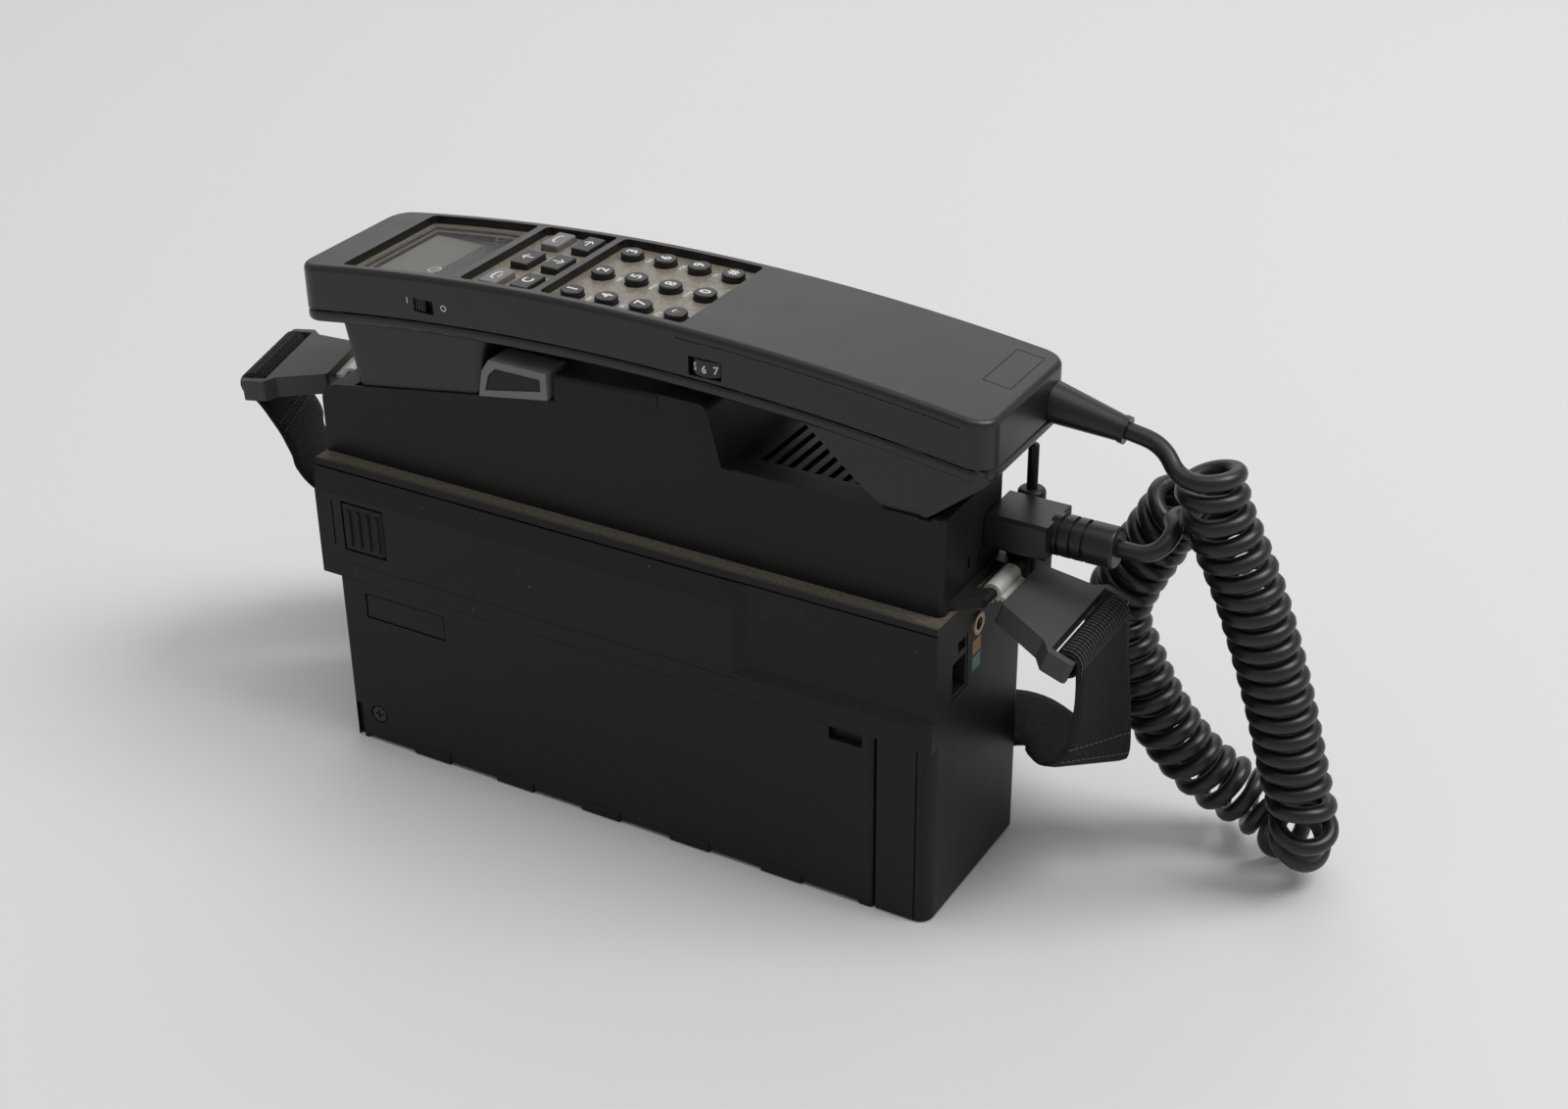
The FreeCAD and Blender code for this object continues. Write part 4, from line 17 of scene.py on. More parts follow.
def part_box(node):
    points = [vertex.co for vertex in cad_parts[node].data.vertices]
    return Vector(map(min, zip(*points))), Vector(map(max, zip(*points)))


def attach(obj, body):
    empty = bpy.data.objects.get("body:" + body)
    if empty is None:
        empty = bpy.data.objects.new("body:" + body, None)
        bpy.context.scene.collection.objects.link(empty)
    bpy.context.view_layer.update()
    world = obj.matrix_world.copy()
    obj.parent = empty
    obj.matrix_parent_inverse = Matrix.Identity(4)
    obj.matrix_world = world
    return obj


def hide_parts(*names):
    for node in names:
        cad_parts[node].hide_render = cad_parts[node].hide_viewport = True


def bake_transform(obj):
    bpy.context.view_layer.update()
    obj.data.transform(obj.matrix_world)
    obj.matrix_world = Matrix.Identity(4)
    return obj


MM = 0.001
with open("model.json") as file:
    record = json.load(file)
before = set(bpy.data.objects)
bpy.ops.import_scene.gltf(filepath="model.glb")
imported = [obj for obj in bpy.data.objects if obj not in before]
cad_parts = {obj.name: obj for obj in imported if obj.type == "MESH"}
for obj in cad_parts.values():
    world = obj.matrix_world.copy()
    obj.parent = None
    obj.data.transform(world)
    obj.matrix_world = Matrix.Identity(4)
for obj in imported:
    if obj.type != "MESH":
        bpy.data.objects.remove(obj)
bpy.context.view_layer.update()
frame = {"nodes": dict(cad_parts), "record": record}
nodes = frame["nodes"]


def new_object(name, data):
    """A new object with this data, in the scene."""
    made = bpy.data.objects.new(name, data)
    bpy.context.scene.collection.objects.link(made)
    return made


# %% [markdown]
# ## Shader maths as expressions
# A finish is easier to read as a formula than as a list of links. One class wraps an output socket
# and turns +, -, *, / into Math nodes. The other class holds a material's tree and adds any other
# node through one method.

# %% Two small classes for materials
class Wire:
    """An output socket that takes part in expressions."""

    def __init__(self, finish, made, socket=0):
        self.finish = finish
        self.made = made
        self.socket = made.outputs[socket]

    def __getitem__(self, name):
        return Wire(self.finish, self.made, name)

    def _math(self, operation, first, second):
        return self.finish.node("ShaderNodeMath", {"operation": operation}, {0: first, 1: second})

    def __add__(self, other):
        return self._math("ADD", self, other)

    def __radd__(self, other):
        return self._math("ADD", other, self)

    def __sub__(self, other):
        return self._math("SUBTRACT", self, other)

    def __rsub__(self, other):
        return self._math("SUBTRACT", other, self)

    def __mul__(self, other):
        return self._math("MULTIPLY", self, other)

    def __truediv__(self, other):
        return self._math("DIVIDE", self, other)

    def sine(self):
        return self._math("SINE", self, 0.0)

    def above(self, level, soft):
        """0 below the level, 1 above it, with a soft step between."""
        return self.finish.node("ShaderNodeMapRange", {"interpolation_type": "SMOOTHSTEP"},
                                {"Value": self, "From Min": level - soft, "From Max": level + soft})


class Finish:
    """A material under construction."""

    def __init__(self, name):
        self.material = bpy.data.materials.new(name)
        self.material.use_nodes = True
        self.tree = self.material.node_tree
        self.tree.nodes.clear()

    def node(self, kind, settings=None, inputs=None):
        """Adds a node: its settings first, then values or links for its inputs."""
        made = self.tree.nodes.new(kind)
        for key, value in (settings or {}).items():
            setattr(made, key, value)
        for key, value in (inputs or {}).items():
            socket = made.inputs[key]
            if isinstance(value, Wire):
                self.tree.links.new(value.socket, socket)
            else:
                socket.default_value = value
        return Wire(self, made)

    def place(self):
        """Object coordinates, in metres."""
        return self.node("ShaderNodeTexCoord")["Object"]

    def noise(self, size, detail=2.0, place=None):
        """Soft noise whose blotches are about this many metres across."""
        where = place or self.place()
        return self.node("ShaderNodeTexNoise", None,
                         {"Vector": where, "Scale": 1 / size, "Detail": detail})["Fac"]

    def mix(self, first, second, share):
        """A colour between two colours."""
        made = self.node("ShaderNodeMix", {"data_type": "RGBA"}, {0: share, 6: first, 7: second})
        return Wire(self, made.made, 2)

    def upward(self):
        """How far a face looks up, from -1 to 1."""
        normal = self.node("ShaderNodeNewGeometry")["Normal"]
        return self.node("ShaderNodeSeparateXYZ", None, {0: normal})["Z"]

    def bump(self, height, depth):
        """A normal from a height between 0 and 1 and a depth in metres."""
        return self.node("ShaderNodeBump", None, {"Height": height, "Distance": depth})

    def surface(self, **inputs):
        """The finished surface, with constants or wires for its sockets."""
        named = {key.replace("_", " "): value for key, value in inputs.items()}
        shader = self.node("ShaderNodeBsdfPrincipled", None, named)
        out = self.tree.nodes.new("ShaderNodeOutputMaterial")
        self.tree.links.new(shader.socket, out.inputs["Surface"])
        return self.material


def grey(value, warmth=0.0):
    """A grey as a colour, a little warmer or cooler."""
    return (value * (1 + warmth), value, value * (1 - warmth), 1.0)

# %% [markdown]
# ## Moulded plastic with a little dust
# The case is black ABS with a fine spark-eroded grain. Its faces look lighter where the grain
# scatters the light, and dust has settled on what faces up. Fine noise gives the grain as bump,
# wider noise breaks the gloss, and the upward part of the normal tells where dust stays.

# %% Moulded plastics
DUST = (0.30, 0.26, 0.20, 1.0)
WARMTH = 0.02
GLOSS_BREAK = 0.12
ARCH_TOP, ARCH_RADIUS = 168.2 * MM, 772 * MM
LEDGE_FRONT, LEDGE_LOW, LEDGE_HIGH = 30 * MM, 97 * MM, 100.5 * MM


def moulded(name, shade, roughness, grain=0.45, relief=0.02, dust=0.05, gloss=0.25, recess=None):
    """Satin moulded plastic. grain and relief are in millimetres; dust is its share on top."""
    f = Finish(name)
    where = f.place()
    fine = f.noise(grain * MM, 1.0, where)
    cloud = f.noise(14 * MM, 3.0, where)
    fleck = f.noise(0.9 * MM, 2.0, where).above(0.70, 0.05)
    up = f.upward().above(0.75, 0.2)
    dusty = up * (cloud * dust + fleck * dust * 1.5)
    colour = f.mix(grey(shade * 0.9, WARMTH), grey(shade * 1.15, WARMTH), cloud)
    colour = f.mix(colour, DUST, dusty)
    if recess:
        grit = f.noise(1.1 * MM, 4.0, where)
        colour = f.mix(colour, DUST, recess(f, where) * up * (0.10 + grit * 0.95))
    return f.surface(Base_Color=colour, Roughness=roughness + (cloud - 0.5) * GLOSS_BREAK,
                     Specular_IOR_Level=gloss, Normal=f.bump(fine, relief * MM))


def keypad_recess(f, where):
    """1 on the floors of the recesses in the handset's arched top, where the dust lies thick."""
    parts = f.node("ShaderNodeSeparateXYZ", None, {0: where})
    x, z = parts["X"], parts["Z"]
    depth = (ARCH_TOP - x * x / (2 * ARCH_RADIUS)) - z
    return depth.above(0.8 * MM, 0.3 * MM) * (1 - depth.above(4.5 * MM, 0.5 * MM))


def radio_ledge(f, where):
    """1 on the ledge in front of the cradle, where dust lies in the corner."""
    parts = f.node("ShaderNodeSeparateXYZ", None, {0: where})
    y, z = parts["Y"], parts["Z"]
    near = (y + LEDGE_FRONT).above(2.5 * MM, 2 * MM)
    level = z.above(LEDGE_LOW, 0.5 * MM) * (1 - z.above(LEDGE_HIGH, 0.3 * MM))
    return near * level * 0.5


PLASTICS = (  # name, shade, roughness, grain, relief, dust, gloss, recess
    ("case_plastic", 0.0075, 0.48, 0.5, 0.035, 0.03, 0.22, radio_ledge),
    ("inner_plastic", 0.010, 0.5),
    ("handset_plastic", 0.006, 0.38, 0.5, 0.012, 0.012, 0.5, keypad_recess),
    ("foot_rubber", 0.010, 0.75),
    ("cord_rubber", 0.007, 0.36, 0.8, 0.008, 0.01, 0.45),
    ("antenna_black", 0.010, 0.4),
    ("speaker_black", 0.015, 0.6),
    ("button_grey", 0.15, 0.5, 0.4, 0.03, 0.1, 0.4),
    ("insert_dark", 0.016, 0.6, 0.6, 0.08, 0.06),
    ("mat_rubber", 0.03, 0.7, 0.5, 0.02, 0.3, 0.3, keypad_recess),
    ("key_black", 0.008, 0.38, 0.5, 0.006, 0.01, 0.4),
    ("key_grey", 0.12, 0.45, 0.5, 0.006, 0.05, 0.4),
    # the clips are the case's plastic made lighter: painted light for the light on their rough tops
    ("clip_plastic_painted_light", 0.040, 0.55, 0.5, 0.03, 0.05, 0.4),
)
finishes = {row[0]: moulded(*row) for row in PLASTICS}
print("plastic finishes:", len(finishes))

# %% [markdown]
# ## Metals, printed board, glass and display
# The strap hooks are thin plated strip gone off-white, so their gloss is broken. The display's
# window is smoked and clear: an alpha well below one shows the display module under it.

# %% The other finishes
def metal(name, colour, roughness):
    """Plated metal with a broken gloss."""
    f = Finish(name)
    cloud = f.noise(2.5 * MM, 4.0)
    return f.surface(Base_Color=colour, Metallic=1.0,
                     Roughness=roughness + (cloud - 0.5) * GLOSS_BREAK)


def plain(name, colour, roughness, **more):
    """A plain finish."""
    return Finish(name).surface(Base_Color=colour, Roughness=roughness, **more)


METALS = (
    ("screw_steel", (0.06, 0.06, 0.06, 1), 0.5),
    ("contact_metal", (0.78, 0.62, 0.32, 1), 0.3),
    ("tinned_sheet", (0.62, 0.62, 0.61, 1), 0.38),
)
PLAINS = (
    ("cell_sleeve", (0.03, 0.14, 0.10, 1), 0.3),
    ("board_laminate", (0.02, 0.10, 0.045, 1), 0.4),
    ("display_grey", (0.165, 0.155, 0.130, 1), 0.45),
)
finishes |= {row[0]: metal(*row) for row in METALS}
finishes |= {row[0]: plain(*row) for row in PLAINS}
finishes["window_clear"] = plain("window_clear", (0.03, 0.03, 0.028, 1), 0.12, Alpha=0.18)

hook = Finish("hook_steel")
worn = hook.noise(1.6 * MM, 4.0)
hook_colour = hook.mix((0.50, 0.48, 0.43, 1), (0.72, 0.70, 0.66, 1), worn)
finishes["hook_steel"] = hook.surface(Base_Color=hook_colour, Metallic=0.35, Roughness=0.5)

slots = {row["node"]: row["material_slot"] for row in frame["record"]["subparts"]}
for node, piece in nodes.items():
    # the clips take the lighter copy of the case plastic, which is painted light
    finish = finishes.get("clip_plastic_painted_light" if node.startswith("clip_") else slots[node])
    if finish:
        piece.data.materials.clear()
        piece.data.materials.append(finish)
print("CAD pieces with a finish:", sum(slots[n] in finishes for n in nodes))

# %% [markdown]
# ## The curly cord's route
# The cord leaves the handset's relief at the right end, drops outside the cradle in a slack loop,
# and comes back up to its plug. Its curls follow one smooth line. The line's points are the part's
# own, with each corner rounded as in the part, and they make a NURBS spline. Reading points off
# that spline gives the axis that the curls wind round.

# %% The axis of the curls
COIL_AXIS = [Vector(p) * MM for p in (
    (159, 21.5, 138.5), (161.6, 22, 127), (171, 27.1, 104), (180.5, 33, 70), (187.5, 36.3, 40),
    (191.5, 36.2, 28), (190, 43.5, 11.6), (176, 57.5, 11.2), (155, 51, 23), (140.5, 44, 45),
    (126.5, 41, 76), (134, 39.4, 94), (148, 37.4, 121))]
CORNER_SHARE, CORNER_STEPS = 0.45, 6
WIRE = 5.0 * MM
CURL_RADIUS = 7.6 * MM
CURL_PITCH = 6.0 * MM
CURL_GAP = 0.75 * MM
CURLS = 41.75
POINTS_PER_CURL = 24


def rounded(points, share, steps):
    """The line through the points with each corner drawn as an arc."""
    line = [points[0]]
    for before, corner, after in zip(points, points[1:], points[2:]):
        way_in, way_out = (corner - before).normalized(), (after - corner).normalized()
        reach = share * min((corner - before).length, (after - corner).length)
        half = way_in.angle(way_out) / 2
        radius = reach / math.tan(half)
        axis = way_in.cross(way_out).normalized()
        centre = corner - way_in * reach + axis.cross(way_in) * radius
        arm = corner - way_in * reach - centre
        line += [centre + Matrix.Rotation(2 * half * i / steps, 3, axis) @ arm
                 for i in range(steps + 1)]
    return line + [points[-1]]


def spline(name, points, thickness=0.0):
    """An open NURBS curve of order 3 through control points."""
    curve = bpy.data.curves.new(name, "CURVE")
    curve.dimensions = "3D"
    line = curve.splines.new("NURBS")
    line.points.add(len(points) - 1)
    for made, point in zip(line.points, points):
        made.co = (*point, 1.0)
    line.order_u = 3
    line.use_endpoint_u = True
    line.resolution_u = 3
    curve.bevel_depth = thickness / 2
    curve.bevel_resolution = 4
    curve.use_fill_caps = True
    return new_object(name, curve)


def points_of(curve_object):
    """The points along a curve without thickness, in order."""
    mesh = bpy.data.meshes.new_from_object(curve_object)
    found = [v.co.copy() for v in mesh.vertices]
    bpy.data.meshes.remove(mesh)
    return found


route = spline("coil_axis", rounded(COIL_AXIS, CORNER_SHARE, CORNER_STEPS))
axis_points = points_of(route)
bpy.data.objects.remove(route)
axis_length = sum((b - a).length for a, b in zip(axis_points, axis_points[1:]))
print(f"axis of the curls: {len(axis_points)} points, {axis_length / MM:.0f} mm")

# %% [markdown]
# ## Winding the curls
# A loop walks along the axis and carries a side vector with it that never twists. Where the axis
# bends, the inner sides of the curls would touch, so they stand a little further apart there. A
# spline runs inside its control points, so these stand a little outside the curl's radius. The
# straight ends are pairs of arcs that leave one point along its direction and arrive at the next.

# %% The curls as one line
def even(points, step):
    """The same line with points a fixed length apart."""
    out, reached = [points[0]], 0.0
    for a, b in zip(points, points[1:]):
        span = (b - a).length
        while reached + step <= span + 1e-12 and span > 0:
            reached += step
            out.append(a + (b - a) * (reached / span))
        reached -= span
    return out


def two_arcs(p0, t0, p1, t1, steps):
    """Points on two arcs that leave p0 along t0 and arrive at p1 along t1."""
    chord = p1 - p0
    a = 2 * (1 - t0.dot(t1))
    b = chord.dot(t0 + t1)
    reach = (-b + math.sqrt(b * b + a * chord.dot(chord))) / a if a > 1e-9 else chord.length / 2
    meet = (p0 + t0 * reach + p1 - t1 * reach) / 2
    way = (meet - p0 - t0 * reach).normalized()
    out = []
    for start, along, end in ((p0, t0, meet), (meet, way, p1)):
        span = end - start
        aside = span - along * span.dot(along)
        if aside.length < 1e-7:
            out += [start + span * i / steps for i in range(steps)]
            continue
        radius = span.length_squared / (2 * aside.length)
        outward = aside.normalized()
        angle = 2 * math.atan2(aside.length, span.dot(along))
        centre = start + outward * radius
        out += [centre + (along * math.sin(angle * i / steps)
                          - outward * math.cos(angle * i / steps)) * radius for i in range(steps)]
    return out


STEP = 0.5 * MM
BEND_REACH = 3
TIGHTEST_BEND = 0.9 / CURL_RADIUS
axis_line = even(axis_points, STEP)
ways = [(b - a).normalized() for a, b in zip(axis_line, axis_line[1:])]
ways.append(ways[-1])
side = Vector((0, -1, 0))
sides, turns = [], [0.0]
for i, way in enumerate(ways):
    side = (side - way * side.dot(way)).normalized()
    sides.append(side)
    if i:
        ahead, behind = ways[min(i + BEND_REACH, len(ways) - 1)], ways[max(i - BEND_REACH, 0)]
        bend = min(ahead.angle(behind, 0.0) / (2 * BEND_REACH * STEP), TIGHTEST_BEND)
        pitch = max(CURL_PITCH, (WIRE + CURL_GAP) / (1 - CURL_RADIUS * bend))
        turns.append(turns[-1] + STEP / pitch)
turns = [t * CURLS / turns[-1] for t in turns]


def curl_point(turn, radius):
    """The wire's middle after this many turns."""
    turn = min(max(turn, 0.0), CURLS)
    i = next(k for k in range(len(turns) - 1) if turns[k + 1] >= turn - 1e-9)
    share = (turn - turns[i]) / (turns[i + 1] - turns[i])
    point = axis_line[i].lerp(axis_line[i + 1], share)
    way = ways[i].lerp(ways[i + 1], share).normalized()
    aside = sides[i].lerp(sides[i + 1], share).normalized()
    angle = -2 * math.pi * turn
    return point + (aside * math.cos(angle) + way.cross(aside) * math.sin(angle)) * radius


TINY_TURN = 0.004
curl_start, curl_end = curl_point(0, CURL_RADIUS), curl_point(CURLS, CURL_RADIUS)
curl_in = (curl_point(TINY_TURN, CURL_RADIUS) - curl_start).normalized()
curl_out = (curl_end - curl_point(CURLS - TINY_TURN, CURL_RADIUS)).normalized()
swell = 2 / (1 + math.cos(math.pi / POINTS_PER_CURL) ** 2)
curls = [curl_point(i / POINTS_PER_CURL, CURL_RADIUS * swell)
         for i in range(round(CURLS * POINTS_PER_CURL) + 1)]
print("curls:", CURLS, "control points:", len(curls))

# %% [markdown]
# ## The cord's straight ends and its tube
# The cord leaves the relief straight, and enters the plug straight. The tube is made a mesh.

# %% The whole cord
CORD_EXIT = Vector((135.903, 20.0, 145.616)) * MM
EXIT_WAY = Vector((0.98627, 0.0, -0.16514))
LEAD_MIDDLE = Vector((150.0, 22.0, 120.0)) * MM
LEAD_WAY = Vector((0.6, -0.8, 0.0))
PLUG_TIP = Vector((139.0, 11.2, 114.4)) * MM
PLUG_WAY = Vector((-1, 0, 0))

leave = CORD_EXIT + EXIT_WAY * WIRE
arrive = PLUG_TIP - PLUG_WAY * WIRE
line = [CORD_EXIT, CORD_EXIT.lerp(leave, 0.5)]
line += two_arcs(leave, EXIT_WAY, curl_start, curl_in, 6)
line += curls[:-1]
line += two_arcs(curl_end, curl_out, LEAD_MIDDLE, LEAD_WAY, 8)
line += two_arcs(LEAD_MIDDLE, LEAD_WAY, arrive, PLUG_WAY, 8)
line += [arrive, PLUG_TIP]

centre_line = spline("cord_line", line)
cord_path = points_of(centre_line)
bpy.data.objects.remove(centre_line)
cord_length = sum((b - a).length for a, b in zip(cord_path, cord_path[1:]))
tube = spline("cord_tube", line, WIRE)
cord_mesh = bpy.data.meshes.new_from_object(tube)
bpy.data.objects.remove(tube)


def add(name, mesh, finish, smooth=True):
    """A mesh as an object at the origin, with its finish."""
    mesh.name = name
    made = new_object(name, mesh)
    mesh.materials.clear()
    mesh.materials.append(finish)
    for polygon in mesh.polygons:
        polygon.use_smooth = smooth
    return made


cord = add("cord_curls", cord_mesh, finishes["cord_rubber"])
print(f"cord: {cord_length / MM:.0f} mm of wire, {len(cord.data.polygons)} faces")
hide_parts("curly_cord")
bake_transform(cord)

# %% [markdown]
# ## Woven strap
# The strap is flat nylon webbing, 35 mm wide. It is a ruled band: pairs of points on its two edges,
# a smooth curve through each edge, and a thickness. Its weave follows the band, so the mesh gets a
# UV map in metres, with u along the strap and v across it.

# %% Webbing material
YARN_PITCH, RIB_PITCH = 1.6 * MM, 2.2 * MM


def woven(name, shade, fleck_colour, fleck_share):
    """Ribbed webbing: cross ribs, lengthwise yarns and a few pale flecks."""
    f = Finish(name)
    uv = f.node("ShaderNodeTexCoord")["UV"]
    parts = f.node("ShaderNodeSeparateXYZ", None, {0: uv})
    along, over = parts["X"], parts["Y"]
    sway = f.noise(5 * MM, 2.0) * (1.2 * MM)
    yarns = ((over + sway) * (2 * math.pi / YARN_PITCH)).sine() * 0.5 + 0.5
    shift = (over * (math.pi / YARN_PITCH)).sine().above(0.0, 0.1) * (RIB_PITCH / 2)
    ribs = ((along + shift) * (2 * math.pi / RIB_PITCH)).sine() * 0.5 + 0.5
    fuzz = f.noise(0.25 * MM, 3.0)
    wide = f.noise(9 * MM, 2.0)
    height = ribs * 0.35 + yarns * 0.55 + fuzz * 0.3
    fleck = f.noise(0.5 * MM, 1.0).above(0.78 - fleck_share, 0.06)
    # painted shade and painted highlight: the weave's dips are darker and its raised yarns lighter,
    # following the bump's height
    colour = f.mix(grey(shade * 0.35), grey(shade * 1.6), height * 0.8)
    colour = f.mix(colour, fleck_colour, fleck * wide)
    return f.surface(Base_Color=colour, Roughness=0.85, Specular_IOR_Level=0.2,
                     Normal=f.bump(height, 0.6 * MM))


webbing = woven("webbing_fabric", 0.011, (0.16, 0.15, 0.13, 1), 0.02)
print("webbing: yarns", YARN_PITCH / MM, "mm apart, ribs", RIB_PITCH / MM, "mm")

# %% [markdown]
# ## The band's shape
# A band is built from pairs of points on its two edges. Each strap half is one mesh of two bands:
# a closed loop round the clip's bar, and the fall under it.

# %% Bands of webbing
STRAP_WIDTH, STRAP_THICKNESS = 35.0, 1.8
LOOP_MIDDLE, LOOP_TRIM, LOOP_TUCK, LOOP_POINTS = 3.4, 0.2, 0.05, 24
COLUMNS = 10


def softened(pairs, steps):
    """More pairs on smooth curves through the given ones."""
    def between(p, t):
        slope, bow = p[2] - p[0], 2 * p[0] - 5 * p[1] + 4 * p[2] - p[3]
        return 0.5 * (2 * p[1] + slope * t + bow * t ** 2
                      + (3 * p[1] - p[0] - 3 * p[2] + p[3]) * t ** 3)
    out, last = [], len(pairs) - 1
    for i in range(last):
        near = [pairs[max(min(k, last), 0)] for k in (i - 1, i, i + 1, i + 2)]
        out += [tuple(between([pair[e] for pair in near], j / steps) for e in (0, 1))
                for j in range(steps)]
    return out + [pairs[-1]]


def band(bm, layer, pairs, closed=False):
    """Adds one band of webbing to a mesh, with its UV map in metres."""
    def face(corners):
        made = bm.faces.new([c[0] for c in corners])
        for loop, corner in zip(made.loops, corners):
            loop[layer].uv = corner[1:]

    rings, reached, total = [], 0.0, len(pairs)
    for i, (a, b) in enumerate(pairs):
        before = pairs[(i - 1) % total if closed else max(i - 1, 0)]
        after = pairs[(i + 1) % total if closed else min(i + 1, total - 1)]
        way = after[0] + after[1] - before[0] - before[1]
        half = way.cross(b - a).normalized() * (STRAP_THICKNESS / 2)
        if i:
            reached += ((a + b) / 2 - (pairs[i - 1][0] + pairs[i - 1][1]) / 2).length
        ring = []
        for way_up, order in ((1, range(COLUMNS + 1)), (-1, range(COLUMNS, -1, -1))):
            for k in order:
                thin = 0.5 if k in (0, COLUMNS) else 1.0
                point = a.lerp(b, k / COLUMNS) + half * way_up * thin
                ring.append((bm.verts.new(point * MM), reached * MM,
                             k / COLUMNS * STRAP_WIDTH * MM))
        rings.append(ring)
    for here, there in list(zip(rings, rings[1:])) + ([(rings[-1], rings[0])] if closed else []):
        for k in range(len(here)):
            m = (k + 1) % len(here)
            face((here[k], here[m], there[m], there[k]))
    if not closed:
        for end in (rings[0], rings[-1]):
            for k in range(COLUMNS):
                m = 2 * COLUMNS + 1 - k
                face((end[k], end[k + 1], end[m - 1], end[m]))


def strap(name, bar, turn, pairs):
    """One strap half: the loop round its bar and its fall, as one mesh."""
    bm = bmesh.new()
    layer = bm.loops.layers.uv.new("strap")
    along = Matrix.Rotation(turn, 3, "Z") @ Vector((0, STRAP_WIDTH / 2 - LOOP_TRIM, 0))
    outward = Matrix.Rotation(turn, 3, "Z") @ Vector((1, 0, 0))
    loop = []
    for i in range(LOOP_POINTS):
        a = 2 * math.pi * i / LOOP_POINTS
        arm = outward * math.cos(a) + Vector((0, 0, 1)) * math.sin(a)
        arm = arm * (LOOP_MIDDLE - LOOP_TUCK)
        loop.append((bar + arm - along, bar + arm + along))
    band(bm, layer, loop, closed=True)
    band(bm, layer, pairs)
    bmesh.ops.recalc_face_normals(bm, faces=bm.faces)
    mesh = bpy.data.meshes.new(name)
    bm.to_mesh(mesh)
    bm.free()
    return add(name, mesh, webbing)


print("band:", STRAP_WIDTH, "x", STRAP_THICKNESS, "mm,", COLUMNS, "faces across")

# %% [markdown]
# ## Where the strap lies
# Each fall starts at its bar and follows the same pairs as in the part, in millimetres from the
# bar's middle. Behind the body the strap lies flat in layers, and turns over where it is folded.

# %% The two strap halves
BAR_LEFT = Vector((-148.938, 1.017, 109.982))
BAR_RIGHT = Vector((136.720, 1.0, 91.159))
BAR_TURN_LEFT = math.radians(16.0)
LEFT_BEND = (BAR_LEFT * MM, (BAR_LEFT + Vector((0, 0, -48))) * MM)
RIGHT_BEND = (BAR_RIGHT * MM, (BAR_RIGHT + Vector((0, 0, -42))) * MM)
FLOOR_FRONT, FLOOR_GAP, LAYER_STEP = 34.0, 0.4, 2.3
FOLD_LEFT, FOLD_RIGHT, ADJUSTER, ADJUSTER_LENGTH = -30.0, 40.0, 0.0, 22.0
LEFT_ROWS = [
    ((7.9, -16.5, -6.4), (-4.8, 16.8, -7.0)), ((10.2, -16.0, -9.9), (-4.3, 17.3, -12.0)),
    ((12.1, -14.0, -15.9), (-3.6, 19.0, -18.0)), ((11.5, -11.0, -21.9), (-3.0, 21.3, -23.0)),
    ((10.3, -8.0, -27.1), (-3.7, 23.5, -27.6)), ((8.3, -4.0, -34.7), (-5.9, 27.0, -36.7)),
    ((5.7, 7.0, -47.7), (-4.0, 40.0, -53.0)), ((16.0, 19.0, -61.0), (12.0, 53.0, -67.0))]
RIGHT_ROWS = [
    ((3.6, -17.6, -11.0), (4.3, 17.4, -14.0)), ((2.3, -18.0, -23.0), (6.3, 17.0, -33.0)),
    ((-1.7, -17.5, -31.7), (6.8, 16.5, -46.2)), ((-9.7, -9.0, -39.7), (0.3, 23.5, -50.7)),
    ((-22.2, 11.0, -52.2), (-28.7, 45.0, -55.2)), ((-34.2, 30.5, -64.7), (-51.7, 60.5, -67.2))]


def layer_z(number):
    """The middle height of one layer of the folded strap, in millimetres."""
    return FLOOR_GAP + STRAP_THICKNESS / 2 + number * LAYER_STEP


def flat_pair(x, z):
    """The two edges where the strap lies flat behind the body."""
    return Vector((x, FLOOR_FRONT, z)), Vector((x, FLOOR_FRONT + STRAP_WIDTH, z))


def turn_over(x, number, way):
    """The strap folding up from one layer to the next."""
    radius = LAYER_STEP / 2
    middle = layer_z(number) + radius
    return [flat_pair(x + way * radius * math.sin(a), middle - radius * math.cos(a))
            for a in (math.pi / 4, math.pi / 2, 3 * math.pi / 4)]


def fall(bar, turn, start_way, rows):
    """The pairs of a strap's fall, from its bar's middle."""
    along = Matrix.Rotation(turn, 3, "Z") @ Vector((0, STRAP_WIDTH / 2, 0))
    start = bar + start_way * LOOP_MIDDLE
    return [(start - along, start + along)] + [(bar + Vector(a), bar + Vector(b)) for a, b in rows]


left = fall(BAR_LEFT, BAR_TURN_LEFT, Vector((0, 0, -1)), LEFT_ROWS)
left += [flat_pair(-104, 36), flat_pair(-82, 22), flat_pair(-56, 11), flat_pair(-22, layer_z(3))]
left = softened(left, 6) + [flat_pair(ADJUSTER - 1, layer_z(3))]
right = fall(BAR_RIGHT, 0.0, Vector((1, 0, 0)), RIGHT_ROWS)
right += [flat_pair(70, 9), flat_pair(48, layer_z(0)), flat_pair(30, layer_z(0))]
right = softened(right, 6)
right += [flat_pair(FOLD_LEFT, layer_z(0))] + turn_over(FOLD_LEFT, 0, -1)
right += [flat_pair(FOLD_LEFT, layer_z(1)), flat_pair(FOLD_RIGHT, layer_z(1))]
right += turn_over(FOLD_RIGHT, 1, 1) + [flat_pair(FOLD_RIGHT, layer_z(2))]
right += [flat_pair(ADJUSTER + ADJUSTER_LENGTH, layer_z(2)),
          flat_pair(ADJUSTER + ADJUSTER_LENGTH * 0.6, layer_z(3)),
          flat_pair(ADJUSTER + 1, layer_z(3))]

